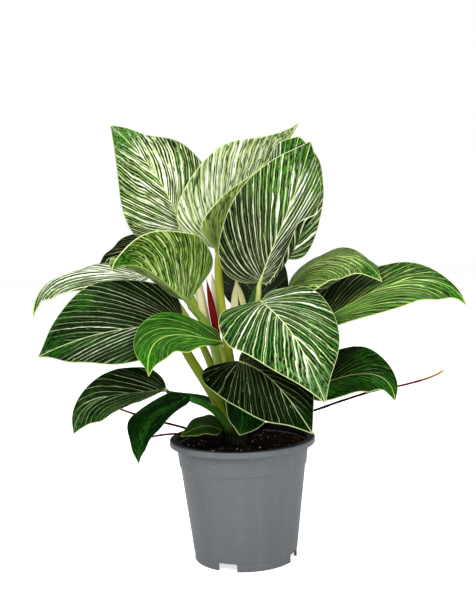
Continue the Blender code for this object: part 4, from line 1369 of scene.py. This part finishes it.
@dataclass
class NurseryPot:
    """The grey round pot: tapered wall, step, turned-down lip and slotted foot."""

    height: float = 100.0
    rim_r: float = 60.0
    lip_height: float = 4.5
    lip_wall: float = 1.3
    wall: float = 1.2
    neck_r: float = 54.6
    step_z: float = 78.0
    step_r: float = 51.6
    base_r: float = 42.3
    foot_ring: float = 2.0
    floor_under: float = 7.0
    floor_top: float = 8.5
    segments: int = 192
    scuffs: tuple[float, ...] = (0.082, 0.090, 0.093, 0.0955)
    dirt_r: float = 0.0578
    dirt_z: tuple[float, float] = (0.0945, 0.0955)
    slot_angles: tuple[float, ...] = (-21.0, 69.0, 159.0, 249.0)
    slot_size: Point = (16.0, 14.0, 8.5)
    slot_corner: float = 1.6
    slot_below: float = 2.0
    drain_r: float = 3.5
    drain_depth: float = 6.0
    drain_ring: float = 25.0
    drains: int = 5

    def _profile(self) -> list[tuple[float, float]]:
        """Lay out the closed section, from the inside floor round to the underside.

        Returns:
            Its points with rounded corners, as distances from the axis and heights.
        """
        low, rim, base, neck = self.height - self.lip_height, self.rim_r, self.base_r, self.neck_r
        under_lip, inner_step, foot = self.height - self.lip_wall, self.step_r - self.wall, base - self.foot_ring
        corners = [
            (0.0, self.floor_top, 0), (base - 0.8, self.floor_top, 1.2),
            (inner_step - 0.4, self.step_z - 0.6, 0.4), (inner_step + 0.8, self.step_z + 0.4, 0.4),
            (neck - self.wall, low + 2.5, 0.6), (neck - 0.4, self.height, 0.5),
            (rim, self.height, 0.8), (rim, low, 0.35), (rim - self.lip_wall, low, 0.35),
            (rim - self.lip_wall, under_lip, 0.3), (neck + 0.2, under_lip, 0.3), (neck, low, 0.4),
            (self.step_r + 0.9, self.step_z + 0.5, 0.5), (self.step_r, self.step_z - 0.5, 0.5),
            (base + 0.6, self.floor_under, 0.5), (base, self.floor_under - 1, 0.4), (base, 0, 0.4),
            (foot, 0, 0.4), (foot, self.floor_under, 0.5), (0.0, self.floor_under, 0),
        ]
        points = []
        for i, (r, z, soft) in enumerate(corners):
            if soft <= 0:
                points.append((r, z))
                continue
            here = np.array([r, z])
            before = unit(np.array(corners[i - 1][:2]) - here)
            after = unit(np.array(corners[(i + 1) % len(corners)][:2]) - here)
            for f in (0, 1 / 3, 2 / 3, 1):
                points.append(tuple(here + before * soft * (1 - f) ** 2 + after * soft * f ** 2))
        return points

    def build(self) -> bpy.types.Object:
        """Make the pot by spinning its section.

        Returns:
            The pot.
        """
        profile = self._profile()
        deselect()
        bpy.ops.mesh.primitive_circle_add(vertices=len(profile), radius=0.05, fill_type="NOTHING")
        pot = bpy.context.object
        pot.name = pot.data.name = "nursery_pot"
        lay(pot, np.array([(r, 0.0, z) for r, z in profile]))
        bpy.ops.object.mode_set(mode="EDIT")
        bpy.ops.mesh.select_all(action="SELECT")
        centre = (POT_AXIS[0] * MM, POT_AXIS[1] * MM, 0)
        bpy.ops.mesh.spin(steps=self.segments, angle=TAU, center=centre, axis=(0, 0, 1))
        bpy.ops.object.mode_set(mode="OBJECT")
        weld(pot, 2e-5)
        tools = [self._slot(angle) for angle in self.slot_angles]
        tools += [self._drain(TAU * (k + 0.5) / self.drains) for k in range(self.drains)]
        for tool in tools:
            cut = pot.modifiers.new("cut", "BOOLEAN")
            cut.operation, cut.solver, cut.object = "DIFFERENCE", "MANIFOLD", tool
            apply_modifiers(pot)
            bpy.data.objects.remove(tool)
        smooth(pot, 32.0)
        return pot

    def _slot(self, angle: float) -> bpy.types.Object:
        """Make the block that cuts one slot in the foot ring, with its upper edges rounded.

        Args:
            angle: where it stands, in degrees.

        Returns:
            The block.
        """
        deselect()
        bpy.ops.mesh.primitive_cube_add(size=1.0)
        tool = bpy.context.object
        bpy.ops.object.mode_set(mode="EDIT")
        mesh = bmesh.from_edit_mesh(tool.data)
        upper = [edge for edge in mesh.edges
                 if all(v.co.z > 0 for v in edge.verts) and abs(edge.verts[0].co.x - edge.verts[1].co.x) < 0.1]
        bpy.ops.mesh.select_all(action="DESELECT")
        bpy.ops.mesh.select_mode(type="EDGE")
        wide, deep, tall = self.slot_size
        for vertex in mesh.verts:
            x, y, z = vertex.co
            vertex.co = Vector((x * wide, y * deep, (z + 0.5) * tall - self.slot_below))
        for edge in upper:
            edge.select_set(True)
        bmesh.update_edit_mesh(tool.data)
        bpy.ops.mesh.bevel(offset=self.slot_corner, segments=5, affect="EDGES")
        bpy.ops.object.mode_set(mode="OBJECT")
        turn = Matrix.Rotation(math.radians(angle), 4, "Z")
        tool.data.transform(turn @ Matrix.Translation((0, self.foot_ring - self.base_r, 0)))
        lay(tool, np.array([v.co for v in tool.data.vertices]))
        return tool

    def _drain(self, turn: float) -> bpy.types.Object:
        """Make the plug that cuts one drain hole in the floor.

        Args:
            turn: where it stands, in radians.

        Returns:
            The plug.
        """
        x, y = POT_AXIS[0] + self.drain_ring * math.cos(turn), POT_AXIS[1] + self.drain_ring * math.sin(turn)
        deselect()
        bpy.ops.mesh.primitive_cylinder_add(vertices=32, radius=self.drain_r * MM, depth=self.drain_depth * MM,
                                            location=(x * MM, y * MM, self.floor_top * MM))
        bpy.ops.object.transform_apply(location=True, rotation=True, scale=True)
        return bpy.context.object

    def dress(self, pot: bpy.types.Object) -> None:
        """Give the pot its satin moulded plastic, with scuffs under its lip and dirt on its rim.

        Args:
            pot: the pot.
        """
        net = Skin("grey_plastic")
        spot = net.spot()
        x, y, z = net.split(spot)
        turn = net.math("ARCTAN2", y, x)
        bands = net.noise(net.ring(turn, 5.0, z * 3.0))
        mottle = net.noise(spot, scale=140.0, detail=4.0)
        colour = net.mix(net.step(bands, 0.3, 0.7), (93, 97, 100), (96, 101, 104))
        colour = net.mix(net.step(mottle, 0.5, 0.8) * 0.25, colour, (112, 117, 119))
        speck = net.group(specks(), X=x * 170.0, Y=y * 170.0, Z=z * 170.0, Size=0.12, Share=0.02)[0]
        colour = net.mix(speck * 0.8, colour, (190, 192, 190))
        scuff = net.step(net.noise(net.vector(turn * 26.0, z * 420.0, 0.0), detail=3.0), 0.66, 0.74)
        foot, full, fading, end = self.scuffs
        below_lip = net.step(z, foot, full) * net.step(z, end, fading)
        colour = net.mix(scuff * below_lip * 0.7, colour, (200, 202, 200))
        back = y - POT_AXIS[1] * MM
        inward = net.math("SQRT", x * x + back * back)
        smear = net.noise(spot, scale=500.0) * 0.0014 + self.dirt_r
        dirt = net.step(inward, smear + 0.0006, smear) * net.step(z, *self.dirt_z)
        colour = net.mix(dirt * 0.93, colour, (10, 8, 7))
        tie(pot, "pot", "pot", net.finish(colour, mottle * 0.16 + 0.4, dirt * -0.35 + 0.4, mottle, 0.12, 0.0003))


@dataclass
class PottingSoil:
    """The body of the dark potting mix."""

    top: float = 94.0
    edge_r: float = 52.6
    low: float = 9.0
    base_r: float = 41.2
    bump: float = 0.8
    grit: float = 0.32
    flat_r: float = 52.0
    inner_r: float = 20.0
    wall_low: float = 20.0
    wall_rings: int = 8
    rings: int = 70
    sides: int = 160

    def height(self, x: np.ndarray, y: np.ndarray) -> np.ndarray:
        """How far the uneven top stands above or below its even height.

        Args:
            x: the places' first numbers.
            y: the places' second numbers.

        Returns:
            The differences there.
        """
        away = np.clip((self.flat_r - np.hypot(x, y)) / 8.0, 0.0, 1.0)
        broad = np.sin(0.23 * x + 0.7) * np.cos(0.19 * y - 0.4) + 0.5 * np.sin(0.41 * y + 0.2 * x)
        close = (np.sin(1.31 * x + 2.1 * np.sin(0.5 * y)) * np.cos(1.17 * y + 1.7 * np.sin(0.43 * x))
                 + 0.6 * np.sin(2.3 * x - 1.1 * y) * np.sin(2.0 * y + 0.9 * x))
        return self.bump * away * broad + self.grit * close * np.clip(away * 3, 0, 1)

    def build(self) -> bpy.types.Object:
        """Make the body of the soil.

        Returns:
            The soil.
        """
        thing = sheet("potting_soil", self.sides, self.rings)
        u, v = grid_places(thing)
        row = np.rint((v / 2 + 0.5) * self.rings).astype(int)
        brim = self.wall_rings + 2
        radii = np.concatenate([[0.0, self.inner_r, self.base_r],
                                np.linspace(self.base_r + 2, self.edge_r, self.wall_rings),
                                np.linspace(self.edge_r - 1, 0.0, self.rings - brim)])
        heights = np.concatenate([[self.low] * 3, np.linspace(self.wall_low, self.top, self.wall_rings),
                                  np.full(self.rings - brim, self.top)])
        turn = (u + 1) * math.pi
        x, y = radii[row] * np.cos(turn), radii[row] * np.sin(turn)
        z = heights[row] + np.where(row > brim, self.height(x, y), 0.0)
        lay(thing, np.stack([x, y, z], axis=1))
        weld(thing, 1e-6)
        smooth(thing, 70.0)
        return thing

    def dress(self, soil: bpy.types.Object) -> None:
        """Give the soil its dark crumbly look.

        Args:
            soil: the soil's body.
        """
        net = Skin("dark_soil")
        spot = net.spot()
        coarse = net.noise(spot, scale=420.0, detail=5.0, roughness=0.7)
        patchy = net.noise(spot, scale=60.0, detail=3.0)
        colour = net.mix(net.step(coarse, 0.35, 0.7), (1, 1, 0), (14, 8, 5))
        colour = net.mix(net.step(patchy, 0.45, 0.75) * 0.6, colour, (4, 3, 3))
        x, y, z = (part * 420.0 for part in net.split(spot))
        speck = net.group(specks(), X=x, Y=y, Z=z, Size=0.3, Share=0.08)[0]
        colour = net.mix(speck * 0.7, colour, (120, 78, 52))
        tie(soil, "soil", "soil", net.finish(colour, coarse * 0.2 + 0.75, 0.05, coarse, 0.9, 0.0012))


@dataclass
class SoilLitter:
    """The crumbs, fibres and pale grains that lie on the soil."""

    soil: PottingSoil
    crumbs: int = 520
    fibres: int = 190
    grains: int = 90
    seed: int = 11
    spread: float = 51.5
    turn_back: float = 51.0
    crumb_clear: float = 11.0
    fibre_clear: float = 12.0
    sections: int = 5

    def __post_init__(self) -> None:
        """Start the seeded source and the empty lists of points, faces and colours."""
        self.chance = random.Random(self.seed)
        self.points, self.polygons, self.tints = [], [], []

    def _place(self, inner: float) -> tuple[float, float]:
        """Pick a place on the top, clear of the crown.

        Args:
            inner: how far from the crown.

        Returns:
            The place.
        """
        while True:
            r, turn = self.spread * math.sqrt(self.chance.random()), TAU * self.chance.random()
            x, y = r * math.cos(turn), r * math.sin(turn)
            if math.hypot(x - CROWN_XY[0], y - CROWN_XY[1]) > inner:
                return x, y

    def _ground(self, x: float, y: float) -> float:
        """The height of the soil at a place."""
        return self.soil.top + float(self.soil.height(np.array(x), np.array(y)))

    def build(self) -> bpy.types.Object:
        """Make the litter.

        Returns:
            One object with all of it.
        """
        deselect()
        bpy.ops.mesh.primitive_ico_sphere_add(subdivisions=1, radius=1.0)
        seedling = bpy.context.object
        lump = np.array([v.co for v in seedling.data.vertices])
        faces = [tuple(p.vertices) for p in seedling.data.polygons]
        bpy.data.objects.remove(seedling)
        for k in range(self.crumbs + self.grains):
            self._crumb(lump, faces, k >= self.crumbs)
        for _ in range(self.fibres):
            self._fibre()
        data = bpy.data.meshes.new("soil_litter")
        place = (np.array(self.points) + np.array([*POT_AXIS, 0.0])) * MM
        data.from_pydata(place.tolist(), [], self.polygons)
        thing = bpy.data.objects.new("soil_litter", data)
        bpy.context.scene.collection.objects.link(thing)
        note(thing, "grit", np.array(self.tints))
        weld(thing, 1e-8)
        smooth(thing, 60.0)
        return thing

    def _crumb(self, lump: np.ndarray, faces: Sequence[tuple[int, ...]], pale: bool) -> None:
        """Add one crumb, or one pale grain.

        Args:
            lump: the points of a round lump.
            faces: its faces.
            pale: whether it is a grain.
        """
        uniform = self.chance.uniform
        x, y = self._place(self.crumb_clear)
        size = uniform(0.35, 0.8) if pale else uniform(0.4, 1.5)
        stretch = np.array([uniform(0.6, 1.4), uniform(0.6, 1.4), uniform(0.5, 0.9)]) * size
        wobble = np.array([[uniform(0.75, 1.25)] for _ in lump])
        turn = Matrix.Rotation(uniform(0, TAU), 3, "Z") @ Matrix.Rotation(uniform(-1, 1), 3, "X")
        start = len(self.points)
        centre = np.array([x, y, self._ground(x, y) + size * 0.25])
        self.points.extend((lump * wobble * stretch) @ np.array(turn).T + centre)
        self.polygons.extend(tuple(start + i for i in face) for face in faces)
        shade = self.chance.random()
        dark = shade ** 3
        colour = (150 + 70 * shade, 140 + 66 * shade, 126 + 56 * shade) if pale else (
            5 + 50 * dark, 3 + 26 * dark, 3 + 18 * dark)
        self.tints.extend([paint(*colour)] * len(lump))

    def _fibre(self) -> None:
        """Add one thin bent fibre lying on the soil."""
        uniform, last = self.chance.uniform, self.sections
        x, y = self._place(self.fibre_clear)
        heading, turn = uniform(0, TAU), uniform(-0.5, 0.5)
        length, radius, rise = uniform(2.5, 7.0), uniform(0.09, 0.2), uniform(0.0, 0.5)
        shade = self.chance.random() ** 2
        self.tints.extend([paint(50 + 100 * shade, 20 + 80 * shade, 18 + 60 * shade)] * 3 * (last + 1))
        start = len(self.points)
        for k in range(last + 1):
            ring_r = radius * (0.4 if k in (0, last) else 1.0)
            centre = np.array([x, y, self._ground(x, y) + 0.25 + rise * math.sin(math.pi * k / last)])
            side = np.array([-math.sin(heading), math.cos(heading), 0.0])
            for a in (0.0, TAU / 3, TAU * 2 / 3):
                self.points.append(centre + side * ring_r * math.cos(a) + np.array([0, 0, ring_r * math.sin(a)]))
            x, y = x + math.cos(heading) * length / last, y + math.sin(heading) * length / last
            if math.hypot(x, y) > self.turn_back:
                heading += math.pi / 2
            heading += turn
        for ring in range(start, start + 3 * last, 3):
            for a, b in ((0, 1), (1, 2), (2, 0)):
                self.polygons.append((ring + a, ring + b, ring + b + 3, ring + a + 3))
        end = start + 3 * last
        self.polygons += [(start + 2, start + 1, start), (end, end + 1, end + 2)]

    def dress(self, litter: bpy.types.Object) -> None:
        """Give the litter its mixed browns.

        Args:
            litter: the crumbs, fibres and grains as one object.
        """
        net = Skin("soil_grit")
        grain = net.noise(net.spot(), scale=900.0)
        colour = net.mix(grain * 0.5, net.attribute("grit", "Color"), (20, 12, 8))
        tie(litter, "soil", None, net.finish(colour, grain * 0.2 + 0.7, 0.1))


@dataclass
class AerialRoot:
    """One thin aerial root, with its colours at its start, its middle and its tip."""

    name: str
    node: Optional[str]
    points: Sequence[Point]
    colours: tuple[Colour, Colour, Colour]
    radius: tuple[float, float] = (1.16, 0.84)
    rings: int = 120
    sides: int = 12

    def build(self) -> bpy.types.Object:
        """Make the root from a curve's path.

        Returns:
            The root.
        """
        deselect()
        bpy.ops.curve.primitive_bezier_curve_add()
        wire = bpy.context.object
        spline = wire.data.splines[0]
        spline.bezier_points.add(len(self.points) - len(spline.bezier_points))
        for knot, point in zip(spline.bezier_points, self.points):
            knot.co = Vector(point)
            knot.handle_left_type = knot.handle_right_type = "AUTO"
        wire.data.resolution_u = 16
        bpy.ops.object.convert(target="MESH")
        path = Rib([v.co for v in wire.data.vertices], dense=True)
        bpy.data.objects.remove(wire)
        low, high = self.radius

        def radius(f: np.ndarray) -> np.ndarray:
            """The root's radius with its small swellings and blunt tip."""
            lumps = 1 + 0.07 * np.sin(41 * f + 3 * np.sin(13 * f)) + 0.04 * np.sin(97 * f)
            return (low + (high - low) * f) * lumps * (1 - 0.5 * eased((f - 0.975) / 0.025))

        root = tube(self.name, path, radius, self.rings, self.sides)
        smooth(root, 50.0)
        return root

    def dress(self, root: bpy.types.Object) -> None:
        """Give the root its bark and tie it to the plant.

        Args:
            root: the root.
        """
        net = Skin(self.name + "_bark")
        grain = net.noise(net.spot(), scale=700.0, detail=3.0)
        bent = (grain - 0.5) * 0.12 + net.attribute("length_share")
        start, middle, tip = self.colours
        colour = net.mix(net.step(bent, 0.3, 0.75), start, middle)
        colour = net.mix(net.step(bent, 0.86, 0.97), colour, tip)
        tie(root, "root", self.node, net.finish(colour, grain * 0.2 + 0.7, 0.03, grain, 0.5, 0.0003))


DARK_BARK, RED_BARK = (14, 8, 8), (84, 34, 16)
# The roots' points run from the crown or the soil to the tip.
ROOTS = (
    AerialRoot("aerial_root_right", "root_right",
               ((4.0, 4.2, 98.5), (10, 6.5, 101), (30, 5, 112), (60, 4, 119), (83, 5, 126), (113, 6, 134),
                (138, 7, 138), (163, 8, 145), (170, 8, 149)), (DARK_BARK, RED_BARK, (188, 132, 44))),
    AerialRoot("aerial_root_left_upper", "root_left_upper",
               ((-12.8, 5.9, 98), (-17, 10, 104), (-24, 12, 115), (-31, 12, 115), (-35, 12, 107), (-42, 12, 104),
                (-49, 10, 107), (-61, 8, 111), (-76, 5, 116), (-88, 2, 121), (-101, -2, 127)),
               (DARK_BARK, RED_BARK, (120, 66, 40))),
    AerialRoot("aerial_root_left_lower", "root_left_lower",
               ((-14.6, 2.5, 97.5), (-32, 6, 98), (-45, 5, 101), (-53, 4, 103), (-66, 2, 103), (-76, 0, 102)),
               (DARK_BARK, RED_BARK, (130, 72, 44))),
    AerialRoot("soil_root_loop", None,
               ((41.5, -12, 93.6), (42.5, -13, 98.5), (44.8, -13.5, 100.2), (47.0, -13.5, 97.5), (46.2, -13, 93.6)),
               (RED_BARK, RED_BARK, DARK_BARK), radius=(0.55, 0.45), rings=40, sides=8),
)


@dataclass
class Studio:
    """The pale floor, the soft lights and the camera."""

    focal_px: float = 943.0
    frame_px: tuple[int, int] = (476, 610)
    eye: Point = (0.0, -0.769, 0.267)
    pitch: float = 4.3
    roll: float = -1.86
    sensor: float = 36.0
    room: float = 0.3
    floor_size: float = 12.0
    glow: tuple[float, float] = (0.1, 0.6)
    middle: Point = (0, 0, 0.2)
    lights: tuple[tuple, ...] = (("key", (-1.0, -1.2, 1.5), 0.8, 24.0), ("fill", (0.7, -1.4, 0.8), 0.9, 13.0),
                                 ("top", (0.1, 0.2, 1.6), 0.9, 13.0))

    def camera(self) -> None:
        """Stand the camera where the photograph was taken from."""
        lens = bpy.data.cameras.new("camera")
        lens.sensor_width = self.sensor
        lens.sensor_fit = "AUTO"
        lens.lens = self.focal_px / max(self.frame_px) * self.sensor
        lens.clip_start, lens.clip_end = 0.01, 50.0
        eye = bpy.data.objects.new("camera", lens)
        tilt = Matrix.Rotation(math.radians(90 - self.pitch), 4, "X")
        roll = Matrix.Rotation(math.radians(self.roll), 4, "Z")
        eye.matrix_world = Matrix.Translation(self.eye) @ tilt @ roll
        bpy.context.scene.collection.objects.link(eye)
        bpy.context.scene.camera = eye

    def floor(self) -> None:
        """Lay a wide pale floor, which isn't part of the plant."""
        deselect()
        bpy.ops.mesh.primitive_grid_add(x_subdivisions=4, y_subdivisions=4, size=self.floor_size,
                                        location=(0, 0, 0))
        ground = bpy.context.object
        ground.name = ground.data.name = "floor"
        net = Skin("white_paper")
        colour = net.mix(net.noise(net.spot(), scale=3.0), (250, 250, 250), (254, 254, 254))
        net.put(net.shader["Emission Color"], colour)
        low, more = self.glow
        net.put(net.shader["Emission Strength"], self._seen(net) * more + low)
        ground.data.materials.append(net.finish(colour, 0.9, 0.1))

    @staticmethod
    def _seen(net: Net) -> Wire:
        """Tell what the camera sees directly from what only lights the plant."""
        return Wire(net, net.node("ShaderNodeLightPath").outputs["Is Camera Ray"])

    def light(self, name: str, place: Point, size: float, power: float) -> None:
        """Hang one soft square light, turned to the plant's middle.

        Args:
            name: the light's name.
            place: where it hangs.
            size: its side.
            power: its strength in watts.
        """
        lamp = bpy.data.lights.new(name, "AREA")
        lamp.shape, lamp.size, lamp.energy = "SQUARE", size, power
        thing = bpy.data.objects.new(name, lamp)
        thing.location = Vector(place)
        thing.rotation_euler = (Vector(self.middle) - Vector(place)).to_track_quat("-Z", "Y").to_euler()
        bpy.context.scene.collection.objects.link(thing)

    def build(self) -> None:
        """Set up the whole studio."""
        self.camera()
        self.floor()
        world = bpy.data.worlds.new("white_room")
        world.use_nodes = True
        net = Net(world.node_tree)
        sky = world.node_tree.nodes["Background"]
        sky.inputs[0].default_value = (1.0, 1.0, 1.0, 1.0)
        net.put(sky.inputs[1], self._seen(net) * (1.0 - self.room) + self.room)
        bpy.context.scene.world = world
        for lamp in self.lights:
            self.light(*lamp)
        bpy.context.scene.view_settings.view_transform = "Standard"


def main() -> None:
    """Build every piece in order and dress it."""
    logging.basicConfig(level=logging.INFO, format="%(name)s %(message)s")
    soil = PottingSoil()
    pieces = [NurseryPot(), soil, SoilLitter(soil), Crown()]
    pieces += [LeafBlade(leaf, order) for order, leaf in enumerate(LEAVES)]
    pieces += [Sheath(leaf) for leaf in SHEATHS]
    for piece in (*pieces, *ROOTS):
        made = piece.build()
        piece.dress(made)
        LOG.info("%s: %d faces", made.name, len(made.data.polygons))
    Studio().build()


if __name__ == "__main__":
    main()
